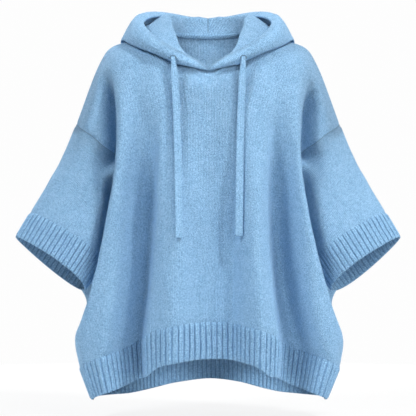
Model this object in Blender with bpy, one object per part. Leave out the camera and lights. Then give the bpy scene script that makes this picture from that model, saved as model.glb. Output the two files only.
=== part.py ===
"""A hooded pullover sweater of thick knit, filled out as if worn and hollow inside.

The neck opening's centre, level with the highest point of the shoulders, is at the world's origin.
+Z is up, the front faces -Y, and the garment's right half lies at -X.
Lengths in the tables are in millimetres. Every cloth piece is first a sheet of points along the
middle of its wall; sheets that are sewn together share the points of their seam, and each sheet
is then given its thickness and is drawn back from the seam by half of the seam's gap.
"""

import math
from collections import namedtuple

import bmesh
import bpy
import numpy as np
from mathutils import Vector
from mathutils.bvhtree import BVHTree

MM = 0.001
SHARP_EDGE = math.radians(40)  # edges that turn more than this are shown sharp

# Driving dimensions
WALL = 3.0  # thickness of the knitted cloth
SEAM_GAP = 0.3  # between two pieces that are sewn together
NECK_SEAM_EASE = 0.62  # the hood stands this much further off its sharply folded seam
ARMHOLE_EASE = 0.1  # and the sleeve this much further off the armhole
SHARPEST = 0.45  # a crease's corner is kept square down to this cosine of its half angle
HEM_RIB_HEIGHT = 72.0
HEM_RIBS = 54  # ribs across the front, and as many across the back
HEM_RIB_RAISE = 1.6
HEM_CORNER_TUCK = 0.1  # how far the rib draws the hem in at the side seams
HEM_CORNER_RISE = 7.0  # how much lower the rib is at the side seams
CUFF_RIBS = 44
CUFF_RIB_RAISE = 1.4
TAPE_HEIGHT = 11.0
TAPE_BELOW_SEAM = 1.0
TAPE_THICKNESS = 1.2
TAPE_CLEAR = 0.7  # between the neck tape and the back panel's inner face
CORD_WIDTH = 15.5
CORD_THICKNESS = 3.6
CORD_CLEAR = 0.9  # between a drawcord and the cloth that it lies on
CORD_EXIT_WIDTH = 9.0  # where the cord is pinched by its opening
CORD_SPREAD = 40.0  # it has its whole width this far below the opening
# The cord's cross-section: places across its width, and its share of the whole thickness there.
CORD_ACROSS = (-0.5, -0.3, 0.3, 0.5)
CORD_THICK = (0.55, 1.0, 1.0, 0.55)

RIGHT, LEFT = -1.0, 1.0  # the wearer's right half is at -X

KNIT_COLOUR = (0.245, 0.405, 0.640, 1.0)
RIB_COLOUR = (0.235, 0.392, 0.625, 1.0)
CORD_COLOUR = (0.262, 0.425, 0.660, 1.0)

# A panel's half at -X is a table of levels, from the top seam down to the rib. A level holds where
# seven lines down the panel cross it, in (x, y, z). edge: armhole seam, then side seam. tuck: behind
# the fold beside the sleeve. fold: that fold's crest. side, neck, inner: lines down from the
# shoulder, the neck's side and the neckline's curve.
Level = namedtuple("Level", "edge tuck fold side neck inner centre")
FRONT = {
    "seam": Level(
        (-270, 0, -197), (-221, 0, -70), (-200, 0, -40), (-150, 3, -22),
        (-88, 10, -5), (-62, -54, -46), (0, -76, -94),
    ),
    "yoke": Level(
        (-256, -38, -208), (-215, -44, -104), (-185, -50, -66), (-136, -56, -50),
        (-88, -60, -46), (-52, -84, -100), (0, -89, -130),
    ),
    "chest": Level(
        (-236, -53, -221), (-203, -53, -152), (-181, -77, -126), (-138, -87, -118),
        (-88, -92, -122), (-48, -98, -168), (0, -98, -184),
    ),
    "bust": Level(
        (-207, -60, -249), (-189, -56, -216), (-182, -89, -206), (-141, -101, -204),
        (-90, -107, -210), (-48, -107, -240), (0, -105, -250),
    ),
    "arm": Level(
        (-172, -46, -312), (-173, -55, -298), (-189, -93, -296), (-145, -107, -298),
        (-93, -113, -300), (-50, -114, -315), (0, -110, -318),
    ),
    "under": Level(
        (-150, 0, -390), (-166, -44, -384), (-202, -94, -386), (-150, -109, -386),
        (-97, -116, -384), (-52, -117, -388), (0, -113, -388),
    ),
    "waist": Level(
        (-172, 0, -462), (-188, -47, -462), (-216, -93, -462), (-157, -111, -462),
        (-102, -119, -460), (-55, -120, -458), (0, -115, -456),
    ),
    "hip": Level(
        (-214, 0, -556), (-225, -46, -556), (-239, -88, -554), (-165, -112, -548),
        (-108, -121, -534), (-59, -122, -526), (0, -117, -524),
    ),
    "skirt": Level(
        (-258, 0, -630), (-267, -44, -628), (-256, -82, -622), (-169, -113, -600),
        (-111, -122, -573), (-61, -122, -564), (0, -118, -560),
    ),
    "rib": Level(
        (-261, 0, -692), (-259, -42, -687), (-245, -78, -677), (-171, -113, -647),
        (-114, -122, -614), (-62, -122, -600), (0, -118, -594),
    ),
}

BACK = {
    "seam": Level(
        (-270, 0, -197), (-221, 0, -70), (-200, 0, -40), (-150, 3, -22),
        (-88, 10, -5), (-62, 62, -5), (0, 86, -5),
    ),
    "yoke": Level(
        (-263, 32, -214), (-222, 46, -108), (-190, 54, -72), (-136, 62, -50),
        (-90, 72, -40), (-52, 88, -44), (0, 98, -50),
    ),
    "chest": Level(
        (-252, 54, -236), (-215, 66, -164), (-192, 82, -132), (-140, 96, -120),
        (-91, 103, -112), (-50, 105, -114), (0, 107, -118),
    ),
    "bust": Level(
        (-234, 66, -266), (-212, 78, -240), (-203, 102, -218), (-146, 111, -206),
        (-94, 113, -200), (-50, 112, -200), (0, 111, -200),
    ),
    "arm": Level(
        (-198, 52, -330), (-204, 68, -318), (-225, 106, -306), (-152, 116, -300),
        (-97, 119, -296), (-51, 117, -296), (0, 115, -296),
    ),
    "under": Level(
        (-150, 0, -390), (-184, 56, -390), (-248, 102, -390), (-160, 117, -386),
        (-101, 122, -384), (-53, 121, -384), (0, 118, -384),
    ),
    "waist": Level(
        (-172, 0, -462), (-216, 52, -476), (-281, 92, -499), (-170, 117, -476),
        (-107, 123, -468), (-56, 123, -466), (0, 120, -466),
    ),
    "hip": Level(
        (-214, 0, -556), (-238, 46, -560), (-251, 86, -564), (-176, 115, -556),
        (-112, 124, -552), (-59, 124, -550), (0, 122, -549),
    ),
    "skirt": Level(
        (-258, 0, -630), (-265, 43, -631), (-257, 79, -632), (-180, 113, -624),
        (-115, 124, -614), (-61, 124, -606), (0, 122, -602),
    ),
    "rib": Level(
        (-261, 0, -692), (-259, 42, -691), (-247, 76, -690), (-180, 111, -683),
        (-117, 123, -673), (-62, 124, -660), (0, 122, -652),
    ),
}
# How much further from the middle the wearer's left half reaches at each level.
LEFT_REACH = (1.0, 1.0, 1.0, 1.0, 1.0, 1.0, 1.012, 1.02, 1.017, 1.025)
LINE_STEPS = (4, 3, 3, 3, 4, 4)  # columns between two neighbouring lines
LEVEL_STEPS = (3, 2, 2, 2, 2, 2, 3, 2, 2)  # rows between two neighbouring levels
SHOULDER_LINES = 5  # the lines from the armhole to the neck's side
ARMHOLE_LEVELS = 6  # the levels from the shoulder to the underarm

# Hanging folds, on both panels. across: where the crest or trough runs at its start, at half way
# and at the rib. start, full: the heights where it begins and where it has its whole depth.
# wide: its reach to -X and to +X. out: how far it pushes the cloth outwards.
Fold = namedtuple("Fold", "across start full wide out")
FRONT_FOLDS = {
    "right_trough": Fold((-122, -123, -158), -150, -560, (26, 34), -24),
    "left_trough": Fold((146, 141, 202), -150, -560, (34, 26), -25),
    "middle_trough": Fold((50, 48, 50), -170, -480, (34, 34), -8),
    "right_crest": Fold((-60, -58, -62), -200, -560, (40, 40), 5),
    "left_crest": Fold((108, 108, 126), -200, -560, (30, 26), 8),
    "right_side_crest": Fold((-168, -172, -214), -240, -600, (24, 26), 9),
    "left_side_crest": Fold((186, 196, 244), -240, -600, (26, 22), 7),
}
FOLDS_END = -660.0  # the height of the folds' lower end
BACK_FOLDS = {
    "right_trough": Fold((-132, -140, -165), -210, -580, (30, 36), -22),
    "left_trough": Fold((118, 126, 150), -230, -580, (34, 30), -20),
    "middle_trough": Fold((-20, -26, -30), -260, -560, (40, 40), -12),
    "right_crest": Fold((-84, -88, -96), -240, -580, (34, 34), 7),
    "left_crest": Fold((50, 56, 62), -240, -580, (38, 34), 8),
}

# The sleeve at -X. A row is a ring: its outer and its inner end, the reach of its front and its
# back, how much higher its front lies and how much lower its back than the line between its ends,
# how much it narrows towards its outer end, and how evenly its columns are spread round it.
Ring = namedtuple("Ring", "outer inner front back rise drop pointed even")
SLEEVE = {
    "start": Ring((-280, -2, -223), (-164, -4, -398), -63, 60, 3, 2, 0.0, 0.0),
    "upper": Ring((-295, -8, -260), (-180, -12, -420), -72, 46, 8, 4, 0.1, 0.25),
    "lower": Ring((-323, -24, -314), (-199, -26, -452), -80, 24, 13, 8, 0.2, 0.6),
    "rib": Ring((-360, -34, -377), (-214, -36, -478), -87, 10, 16, 10, 0.3, 1.0),
    "end": Ring((-388, -44, -425), (-250, -45, -531), -92, 3, 17, 12, 0.35, 1.0),
}
SLEEVE_STEPS = (1, 2, 3, 3)

# The hood's half at -X, lying down. A row is a station round the neck from the front; at each the
# cloth rises from the neckline to the ridge, falls outside it to the fold that lies on the
# shoulder or hangs behind, and comes up again as the outer wall to the edge of the face opening.
Station = namedtuple("Station", "ridge fall fold wall brim edge")
HOOD = {
    "front": Station(
        (0, -78, -90), (0, -80.5, -88), (0, -83.5, -87),
        (0, -86, -86.8), (0, -88, -86.5), (0, -89.6, -85.6),
    ),
    "lapel": Station(
        (-38, -74, -65), (-37, -80, -71), (-36, -87, -82),
        (-36, -92, -76), (-36, -91, -68), (-36, -87, -64.5),
    ),
    "collar": Station(
        (-58, -63, -40), (-61, -75, -55), (-62, -88, -77),
        (-64, -94, -68), (-63, -92, -56), (-62, -87, -51),
    ),
    "corner": Station(
        (-66, -45, -16), (-80, -62, -36), (-92, -84, -63),
        (-96, -90, -54), (-92, -87, -42), (-88, -81, -36.5),
    ),
    "fore": Station(
        (-73, -24, 2), (-98, -42, -14), (-122, -72, -50),
        (-125, -77, -38), (-119, -73, -24), (-111, -65, -20),
    ),
    "shoulder": Station(
        (-78, 2, 22), (-113, -12, 0), (-153, -43, -36.5),
        (-153, -49, -18), (-142, -45, 0), (-130, -37, 2),
    ),
    "side": Station(
        (-86, 26, 30), (-126, 12, 0), (-176, 3, -22),
        (-166, 0, -6), (-150, -2, 15), (-136, 0, 20),
    ),
    "rear": Station(
        (-78, 52, 33), (-106, 58, -12), (-175, 50, -44),
        (-163, 48, 4), (-140, 42, 32), (-124, 35, 34),
    ),
    "nape_side": Station(
        (-54, 76, 33), (-88, 98, -32), (-140, 112, -116),
        (-134, 118, -24), (-106, 92, 41), (-92, 80, 38),
    ),
    "nape": Station(
        (-26, 90, 31), (-46, 112, -48), (-76, 134, -172),
        (-72, 154, -52), (-54, 132, 37), (-46, 120, 34),
    ),
    "centre": Station(
        (0, 94, 30), (0, 118, -60), (0, 140, -190),
        (0, 166, -60), (0, 152, 26), (0, 142, 28),
    ),
}
HOOD_LEFT_REACH = 0.988  # its other half lies a little closer to the neck
STATION_STEPS = (2, 2, 1, 1, 1, 1, 2, 2, 2, 2)
HOOD_STEPS = (3, 3, 3, 2, 2, 1)

# The drawcords, each from its opening in the hood's edge down the front, in (x, z).
CORDS = {
    "drawcord_right": ((-70, -66), (-68, -84), (-62, -190), (-57, -425)),
    "drawcord_left": ((70, -66), (68, -84), (62, -190), (58, -421)),
}
CORD_STEPS = (2, 5, 8)


def curve(points, steps):
    """Points of a smooth curve through the given ones, with that many steps in each stretch."""
    points = np.asarray(points, float)
    ends = (2 * points[0] - points[1], 2 * points[-1] - points[-2])
    knots = np.vstack([ends[0], points, ends[1]])
    gaps = np.sqrt(np.linalg.norm(np.diff(knots, axis=0), axis=1)) + 1e-6
    at = np.concatenate([[0], np.cumsum(gaps)])
    found = [points[0]]
    for k, count in enumerate(steps):
        p, t = knots[k:k + 4], at[k:k + 4]
        for step in range(1, count + 1):
            s = t[1] + (t[2] - t[1]) * step / count
            a = [mixed(p[i], p[i + 1], (s - t[i]) / (t[i + 1] - t[i])) for i in range(3)]
            b = [mixed(a[i], a[i + 1], (s - t[i]) / (t[i + 2] - t[i])) for i in range(2)]
            found.append(mixed(b[0], b[1], (s - t[1]) / (t[2] - t[1])))
    return np.array(found)


def mixed(a, b, share):
    return a + (b - a) * share


def smooth(share):
    share = min(max(share, 0.0), 1.0)
    return share * share * (3 - 2 * share)


def both_halves(row, left_reach):
    """A level's points right across the panel, from the half at -X."""
    half = np.array(row, float)
    return np.vstack([half, half[-2::-1] * (-left_reach, 1, 1)])


def fold_push(x, z, folds):
    """How far the hanging folds move the cloth outwards at this place."""
    push = 0.0
    for fold in folds.values():
        share = (fold.start - z) / (fold.start - FOLDS_END)
        first, half_way, last = fold.across
        line = (1 - share) * (1 - 2 * share) * first + 4 * share * (1 - share) * half_way
        line += share * (2 * share - 1) * last
        reach = fold.wide[0] if x < line else fold.wide[1]
        depth = fold.out * smooth((fold.start - z) / (fold.start - fold.full))
        push += depth * math.exp(-(((x - line) / reach) ** 2))
    return push


def panel_sheet(levels, folds, outwards):
    """The sheet of the front or the back, from its levels down and its lines across."""
    table = np.array([both_halves(row, reach) for row, reach in zip(levels.values(), LEFT_REACH)])
    lines = table.shape[1]
    columns = []
    for line in range(lines):
        if line in (0, lines - 1):
            armhole = curve(table[:ARMHOLE_LEVELS, line], LEVEL_STEPS[:ARMHOLE_LEVELS - 1])
            side_seam = curve(table[ARMHOLE_LEVELS - 1:, line], LEVEL_STEPS[ARMHOLE_LEVELS - 1:])
            columns.append(np.vstack([armhole, side_seam[1:]]))
        else:
            columns.append(curve(table[:, line], LEVEL_STEPS))
    steps = LINE_STEPS + LINE_STEPS[::-1]
    sheet = np.array([curve(row, steps) for row in np.array(columns).transpose(1, 0, 2)])
    sheet[0] = top_seam(table[0], steps)
    last = sheet.shape[1] - 1
    for row in sheet[1:]:
        for c, point in enumerate(row):
            near_edge = smooth(min(c, last - c) / LINE_STEPS[0])
            point[1] += outwards * near_edge * fold_push(point[0], point[2], folds)
    return sheet


def top_seam(points, steps):
    """Shoulder seam, neckline and shoulder seam, each a curve of its own."""
    first, last = SHOULDER_LINES - 1, len(points) - SHOULDER_LINES
    pieces = [
        curve(points[:first + 1], steps[:first]),
        curve(points[first:last + 1], steps[first:last])[1:],
        curve(points[last:], steps[last:])[1:],
    ]
    return np.vstack(pieces)


def armhole_loop(front, back, side):
    """The seam round the armhole: from the shoulder down the front, and up the back."""
    rows = sum(LEVEL_STEPS[:ARMHOLE_LEVELS - 1])
    column = 0 if side == RIGHT else -1
    return np.vstack([front[:rows + 1, column], back[rows - 1:0:-1, column]])


def ring_angles(loop):
    """Where the armhole's points lie between its top and its underarm, as angles round a ring."""
    top, underarm = loop[0], loop[(len(loop)) // 2]
    share = (loop - top) @ (underarm - top) / ((underarm - top) @ (underarm - top))
    angles = np.arccos(np.clip(1 - 2 * share, -1, 1))
    angles[len(loop) // 2 + 1:] *= -1
    return angles


def sleeve_ring(row, angles):
    """A ring of the sleeve, in the order of armhole_loop, for the half at -X."""
    outer, inner = np.array(row.outer, float), np.array(row.inner, float)
    spread = np.linspace(0, 2 * math.pi, len(angles), endpoint=False)
    spread[len(angles) // 2 + 1:] -= 2 * math.pi
    middle, reach = (outer + inner) / 2, (outer - inner) / 2
    upwards = np.array([-reach[2], 0, reach[0]]) / math.hypot(reach[0], reach[2])
    upwards *= math.copysign(1, upwards[2])
    ring = []
    for angle in mixed(angles, spread, row.even):
        depth = math.sin(angle) * (1 - row.pointed * math.cos(angle))
        point = middle + reach * math.cos(angle)
        deep, lift = middle[1] - row.front, row.rise
        if depth < 0:
            deep, lift = row.back - middle[1], row.drop
        ring.append(point + np.array([0, -deep * depth, 0]) + upwards * lift * depth)
    return np.array(ring)


def sleeve_sheet(front, back, side):
    """The rings of a sleeve and its cuff: from the armhole to the cuff's open end."""
    loop = armhole_loop(front, back, side)
    rings = [loop] + [sleeve_ring(row, ring_angles(loop)) for row in SLEEVE.values()]
    if side == LEFT:
        rings[1:] = [ring * (-1, 1, 1) for ring in rings[1:]]
    columns = [curve(line, SLEEVE_STEPS + (1,)) for line in np.array(rings).transpose(1, 0, 2)]
    return np.array(columns).transpose(1, 0, 2)


def hood_sheet(front, back, side):
    """Rows from the neckline to the face opening, columns from the front round to the nape."""
    across = sum(LINE_STEPS[:SHOULDER_LINES - 1])
    middle = sum(LINE_STEPS)
    neckline = np.vstack([front[0, middle:across - 1:-1], back[0, across + 1:middle + 1]])
    table = np.array(list(HOOD.values()), float)
    lines = np.array([curve(table[:, k], STATION_STEPS) for k in range(table.shape[1])])
    lines = np.concatenate([neckline[None], lines])
    sheet = np.array([curve(line, HOOD_STEPS) for line in lines.transpose(1, 0, 2)])
    sheet = sheet.transpose(1, 0, 2)
    if side == RIGHT:
        return sheet
    away = np.linspace(0, 1, sheet.shape[0]) ** 0.5
    mirrored = sheet * (-1, 1, 1)
    mirrored[..., 0] *= 1 - (1 - HOOD_LEFT_REACH) * away[:, None]
    return mirrored


def face_normals(sheet, closed):
    """Each quad's four corners and its unit normal."""
    rows, columns = sheet.shape[:2]
    for r in range(rows - 1):
        for c in range(columns if closed else columns - 1):
            n = (c + 1) % columns
            corners = [(r, c), (r, n), (r + 1, n), (r + 1, c)]
            a, b, d, e = (sheet[k] for k in corners)
            normal = np.cross(d - a, e - b)
            yield corners, normal / max(np.linalg.norm(normal), 1e-9)


def half_walls(sheets, closed, flipped):
    """For each sheet, the step from the middle of its wall to the outer face, with the corner
    of a crease or a seam kept square to both of its sides."""
    found = {}
    for name, sheet in sheets.items():
        for corners, normal in face_normals(sheet, name in closed):
            for corner in corners:
                key = tuple(np.round(sheet[corner], 4))
                found.setdefault(key, []).append(-normal if name in flipped else normal)
    walls = {}
    for name, sheet in sheets.items():
        wall = np.zeros_like(sheet)
        for r in range(sheet.shape[0]):
            for c in range(sheet.shape[1]):
                normals = np.array(found[tuple(np.round(sheet[r, c], 4))])
                middle = normals.sum(axis=0)
                middle /= max(np.linalg.norm(middle), 1e-9)
                wall[r, c] = middle * WALL / 2 / max((normals @ middle).min(), SHARPEST)
        walls[name] = wall
    return walls


def drawn_back(sheet, wall, top=False, bottom=False, sides=False, ease=0.0):
    """The sheet with its sewn edges moved back by half of the seam's gap, and by an ease."""
    sheet = sheet.copy()
    moves = []
    if top:
        moves.append((0, 1))
    if bottom:
        moves.append((-1, -2))
    if sides:
        moves += [(np.s_[:, 0], np.s_[:, 1]), (np.s_[:, -1], np.s_[:, -2])]
    for edge, next_in in moves:
        inwards = sheet[next_in] - sheet[edge]
        across = wall[edge] / np.linalg.norm(wall[edge], axis=-1, keepdims=True)
        inwards -= across * (inwards * across).sum(axis=-1, keepdims=True)
        inwards /= np.linalg.norm(inwards, axis=-1, keepdims=True)
        sheet[edge] += inwards * (SEAM_GAP / 2 + (ease if edge == 0 else 0.0))
    return sheet


def solid(name, outer, inner, material, closed=False):
    """A closed wall between two grids of points; closed joins the last column to the first."""
    rows, columns = outer.shape[:2]
    mesh = bmesh.new()
    skins = []
    for grid in (outer, inner):
        skins.append([[mesh.verts.new(Vector(point * MM)) for point in row] for row in grid])
    spans = [(c, (c + 1) % columns) for c in range(columns if closed else columns - 1)]
    for r in range(rows - 1):
        for c, n in spans:
            corners = [(r, c), (r, n), (r + 1, n), (r + 1, c)]
            # Both faces of the wall are split along the same, shorter diagonal.
            falling = np.linalg.norm(outer[r, c] - outer[r + 1, n])
            if np.linalg.norm(outer[r, n] - outer[r + 1, c]) < falling:
                corners = corners[1:] + corners[:1]
            for triangle in (corners[:3], corners[2:] + corners[:1]):
                mesh.faces.new([skins[0][a][b] for a, b in triangle])
                mesh.faces.new([skins[1][a][b] for a, b in reversed(triangle)])
    rims = [[(skins[k][r][c], skins[k][r][n]) for k in (0, 1)] for r in (0, -1) for c, n in spans]
    if not closed:
        rims += [
            [(skins[k][r][c], skins[k][r + 1][c]) for k in (0, 1)]
            for c in (0, -1) for r in range(rows - 1)
        ]
    for (outer_a, outer_b), (inner_a, inner_b) in rims:
        # Two rims that meet at a seam are split alike.
        if (outer_a.co - inner_b.co).length < (outer_b.co - inner_a.co).length:
            mesh.faces.new([outer_a, outer_b, inner_b])
            mesh.faces.new([outer_a, inner_b, inner_a])
        else:
            mesh.faces.new([outer_a, outer_b, inner_a])
            mesh.faces.new([outer_b, inner_b, inner_a])
    bmesh.ops.recalc_face_normals(mesh, faces=mesh.faces[:])
    data = bpy.data.meshes.new(name)
    mesh.to_mesh(data)
    mesh.free()
    data.materials.append(material)
    data.shade_smooth()
    data.set_sharp_from_angle(angle=SHARP_EDGE)
    made = bpy.data.objects.new(name, data)
    bpy.context.collection.objects.link(made)
    return made


def even_along(points, count, closed=False):
    """Where count + 1 evenly spaced places lie along a line: index and share of each stretch."""
    line = np.vstack([points, points[:1]]) if closed else points
    along = np.concatenate([[0], np.cumsum(np.linalg.norm(np.diff(line, axis=0), axis=1))])
    places = []
    for want in np.linspace(0, along[-1], count + 1):
        k = min(int(np.searchsorted(along, want, side="right")) - 1, len(line) - 2)
        places.append((k, (want - along[k]) / (along[k + 1] - along[k])))
    return places


def read_at(values, places):
    """The values of a line of points at places from even_along."""
    return np.array([mixed(values[k], values[(k + 1) % len(values)], share) for k, share in places])


def ribbed(name, sheet, wall, raise_by, material, closed=False):
    """A ribbed band: ribs stand up on the outer face, and the inner face is plain."""
    crest = np.where(np.arange(sheet.shape[1]) % 2 == 1, raise_by, 0.0)[None, :, None]
    unit = wall / np.linalg.norm(wall, axis=-1, keepdims=True)
    return solid(name, sheet + wall + unit * crest, sheet - wall, material, closed)


def hem_sheet(panel, wall):
    """The ribbed hem under a panel, from the panel's lowest row down."""
    places = even_along(panel[-1], 2 * HEM_RIBS)
    top, across = read_at(panel[-1], places), read_at(wall[-1], places)
    half_width = np.abs(top[:, 0]).max()
    rows = []
    for share in (0.0, 1.0):
        row = top.copy()
        side = np.abs(top[:, 0]) / half_width
        row[:, 0] *= 1 - HEM_CORNER_TUCK * share * side ** 2
        row[:, 2] -= share * (HEM_RIB_HEIGHT - HEM_CORNER_RISE * side ** 4)
        rows.append(row)
    return np.array(rows), np.array([across] * 2)


def cuff_sheet(sleeve, wall):
    """The ribbed cuff, from the sleeve's last plain ring to the open end."""
    places = even_along(sleeve[-2], 2 * CUFF_RIBS, closed=True)[:-1]
    rows = [read_at(ring, places) for ring in sleeve[-2:]]
    return np.array(rows), np.array([read_at(ring, places) for ring in wall[-2:]])


def neck_tape(back, wall, material):
    """The narrow knitted tape inside the back of the neck, along its seam."""
    start = sum(LINE_STEPS[:SHOULDER_LINES - 1])
    columns = slice(start + 1, back.shape[1] - start - 1)
    depth = np.linalg.norm(back[1, columns] - back[0, columns], axis=-1, keepdims=True)
    near, far = [], []
    for below in (TAPE_BELOW_SEAM, TAPE_BELOW_SEAM + TAPE_HEIGHT):
        across = mixed(wall[0, columns], wall[1, columns], below / depth)
        inwards = -across / np.linalg.norm(across, axis=-1, keepdims=True)
        face = mixed(back[0, columns], back[1, columns], below / depth) - across
        near.append(face + inwards * TAPE_CLEAR)
        far.append(face + inwards * (TAPE_CLEAR + TAPE_THICKNESS))
    return solid("neck_tape", np.array(near), np.array(far), material)


def front_most(trees, x, z):
    """How far forward the cloth reaches at this place of the front view."""
    hits = [tree.ray_cast(Vector((x * MM, -1, z * MM)), Vector((0, 1, 0)))[0] for tree in trees]
    return min(hit.y for hit in hits if hit is not None) / MM


def drawcord(name, route, trees, material):
    """A flat cord that hangs over the front, resting on the cloth that reaches furthest."""
    line = curve([(x, 0, z) for x, z in route], CORD_STEPS)
    edges = np.array([CORD_ACROSS[0], 0, CORD_ACROSS[-1]]) * CORD_WIDTH
    depth = np.array([[front_most(trees, x + dx, z) for dx in edges] for x, _, z in line])
    depth = depth.min(axis=1)
    z = line[:, 2]
    hung = depth.copy()
    for first in range(len(z)):
        for last in range(first + 1, len(z)):
            between = slice(first, last + 1)
            chord = np.interp(z[between], (z[last], z[first]), (depth[last], depth[first]))
            hung[between] = np.minimum(hung[between], chord)
    rows_out, rows_in = [], []
    thick = CORD_THICKNESS * np.array(CORD_THICK)
    for k, (x, _, height) in enumerate(line):
        width = mixed(CORD_EXIT_WIDTH, CORD_WIDTH, smooth((line[0, 2] - height) / CORD_SPREAD))
        rest = hung[k] - CORD_CLEAR
        at = np.array([[x + width * share, rest, height] for share in CORD_ACROSS])
        rows_in.append(at)
        rows_out.append(at - np.stack([0 * thick, thick, 0 * thick], axis=1))
    return solid(name, np.array(rows_out), np.array(rows_in), material)


def cloth(name, colour, roughness):
    material = bpy.data.materials.new(name)
    material.use_nodes = True
    shader = material.node_tree.nodes["Principled BSDF"]
    shader.inputs["Base Color"].default_value = colour
    shader.inputs["Roughness"].default_value = roughness
    shader.inputs["Metallic"].default_value = 0.0
    return material


def tree_of(made):
    mesh = made.data
    mesh.calc_loop_triangles()
    return BVHTree.FromPolygons(
        [v.co.copy() for v in mesh.vertices], [tuple(t.vertices) for t in mesh.loop_triangles]
    )


def main():
    for made in list(bpy.data.objects):
        bpy.data.objects.remove(made, do_unlink=True)
    knit = cloth("brushed knit", KNIT_COLOUR, 0.95)
    rib = cloth("ribbed knit", RIB_COLOUR, 0.95)
    cord = cloth("flat knitted cord", CORD_COLOUR, 0.9)

    sheets = {
        "front_panel": panel_sheet(FRONT, FRONT_FOLDS, -1.0),
        "back_panel": panel_sheet(BACK, BACK_FOLDS, 1.0),
    }
    front, back = sheets["front_panel"], sheets["back_panel"]
    for side, word in ((RIGHT, "right"), (LEFT, "left")):
        sheets["sleeve_" + word] = sleeve_sheet(front, back, side)
        sheets["hood_" + word] = hood_sheet(front, back, side)
    tubes = {"sleeve_right", "sleeve_left"}
    inside_out = {"front_panel", "sleeve_right", "hood_right"}
    walls = half_walls(sheets, tubes, inside_out)

    for name in ("front_panel", "back_panel"):
        sheet, wall = sheets[name], walls[name]
        body = drawn_back(sheet, wall, top=True, bottom=True, sides=True)
        solid(name, body + wall, body - wall, knit)
        hem, hem_wall = hem_sheet(sheet, wall)
        hem = drawn_back(hem, hem_wall, top=True, sides=True)
        ribbed(name.replace("panel", "hem_rib"), hem, hem_wall, HEM_RIB_RAISE, rib)
    for side, word in ((RIGHT, "right"), (LEFT, "left")):
        sheet, wall = sheets["sleeve_" + word], walls["sleeve_" + word]
        sleeve = drawn_back(sheet[:-1], wall[:-1], True, True, ease=ARMHOLE_EASE)
        solid("sleeve_" + word, sleeve + wall[:-1], sleeve - wall[:-1], knit, closed=True)
        cuff, cuff_wall = cuff_sheet(sheet, wall)
        cuff = drawn_back(cuff, cuff_wall, top=True)
        ribbed("cuff_" + word, cuff, cuff_wall, CUFF_RIB_RAISE, rib, closed=True)
        sheet, wall = sheets["hood_" + word], walls["hood_" + word]
        hood = drawn_back(sheet, wall, top=True, sides=True, ease=NECK_SEAM_EASE)
        solid("hood_" + word, hood + wall, hood - wall, knit)
    neck_tape(back, walls["back_panel"], rib)
    trees = [tree_of(bpy.data.objects[n]) for n in ("front_panel", "hood_right", "hood_left")]
    for name, route in CORDS.items():
        drawcord(name, route, trees, cord)


main()
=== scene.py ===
"""A hooded pullover sweater in a light blue melange yarn, brushed soft, filled out as if worn.

Every cloth piece is a fine sheet of points on the form of its solid. It gets its creases, its
thickness, its ribs and its rounded edges, and stitches and the yarn's nap are grown on it.
Tables are in millimetres in the frame's own axes: the neck opening's centre is the origin, +Z is
up, the front faces -Y and the wearer's right half lies at -X.
"""

import math
import re
from collections import namedtuple
from functools import partialmethod

import bpy
import numpy as np
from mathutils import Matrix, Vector
from mathutils.bvhtree import BVHTree


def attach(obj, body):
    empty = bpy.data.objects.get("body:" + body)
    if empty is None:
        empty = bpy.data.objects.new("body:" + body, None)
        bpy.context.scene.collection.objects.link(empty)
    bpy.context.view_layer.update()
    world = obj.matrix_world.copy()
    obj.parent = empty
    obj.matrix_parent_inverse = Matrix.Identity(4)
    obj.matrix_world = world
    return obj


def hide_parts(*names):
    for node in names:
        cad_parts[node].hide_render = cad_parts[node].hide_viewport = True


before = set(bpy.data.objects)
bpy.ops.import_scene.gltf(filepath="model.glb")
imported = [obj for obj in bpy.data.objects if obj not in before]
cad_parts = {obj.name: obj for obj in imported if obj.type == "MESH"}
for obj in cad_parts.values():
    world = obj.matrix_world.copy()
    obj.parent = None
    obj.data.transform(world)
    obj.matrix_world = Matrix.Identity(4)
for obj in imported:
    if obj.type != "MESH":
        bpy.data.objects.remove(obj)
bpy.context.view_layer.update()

MM = 0.001
RIGHT, LEFT = -1.0, 1.0
SIDES = ((RIGHT, "right"), (LEFT, "left"))

# ---------------------------------------------------------------- sizes

WALL = 3.0  # thickness of the knitted cloth
SHARP_EDGE = 62.0  # degrees from which an edge isn't smoothed over
SHARPEST = 0.5  # a crease's corner is kept square down to this cosine of its half angle
SEAM_HALF_GAP = 0.03  # sewn edges stop this far from their seam
ACROSS_FINE = 4  # fine columns in each column of the solid
DOWN_FINE = 4  # and fine rows in each of its rows

HEM_RIB_HEIGHT = 72.0
HEM_RIBS = 72  # ribs across the front, and as many across the back
HEM_CORNER_TUCK = 0.1
HEM_CORNER_RISE = 7.0
HEM_ROWS = 22
FRONT_HEM_DROP = 10.0  # the front hem hangs lower at its two big folds
FRONT_HEM_DROP_AT = 124.0
FRONT_HEM_DROP_REACH = 16.0
HEM_RAISE = 3.0  # how far a rib stands up between its grooves
CUFF_RIBS = 44
CUFF_ROWS = 16
CUFF_RAISE = 2.6
RIB_COLUMNS = 8  # fine columns in each rib
RIB_SHAPE = 2.1  # a higher number makes the ribs flatter and their grooves narrower
RIB_START = 8.0  # the ribs rise over this height at the seam
RIB_FINISH = 3.5  # and sink again over this height at the open edge
RIB_FINISH_SHARE = 0.45  # what is left of them there
RIB_GROOVE = 0.25  # a groove lies this share of a rib's height below the plain face
RIB_INSIDE = 0.8  # height of the ribs inside, as a share of the outer ones'
RIB_MIDDLE = 0.55  # and where they cross the plain face

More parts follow.
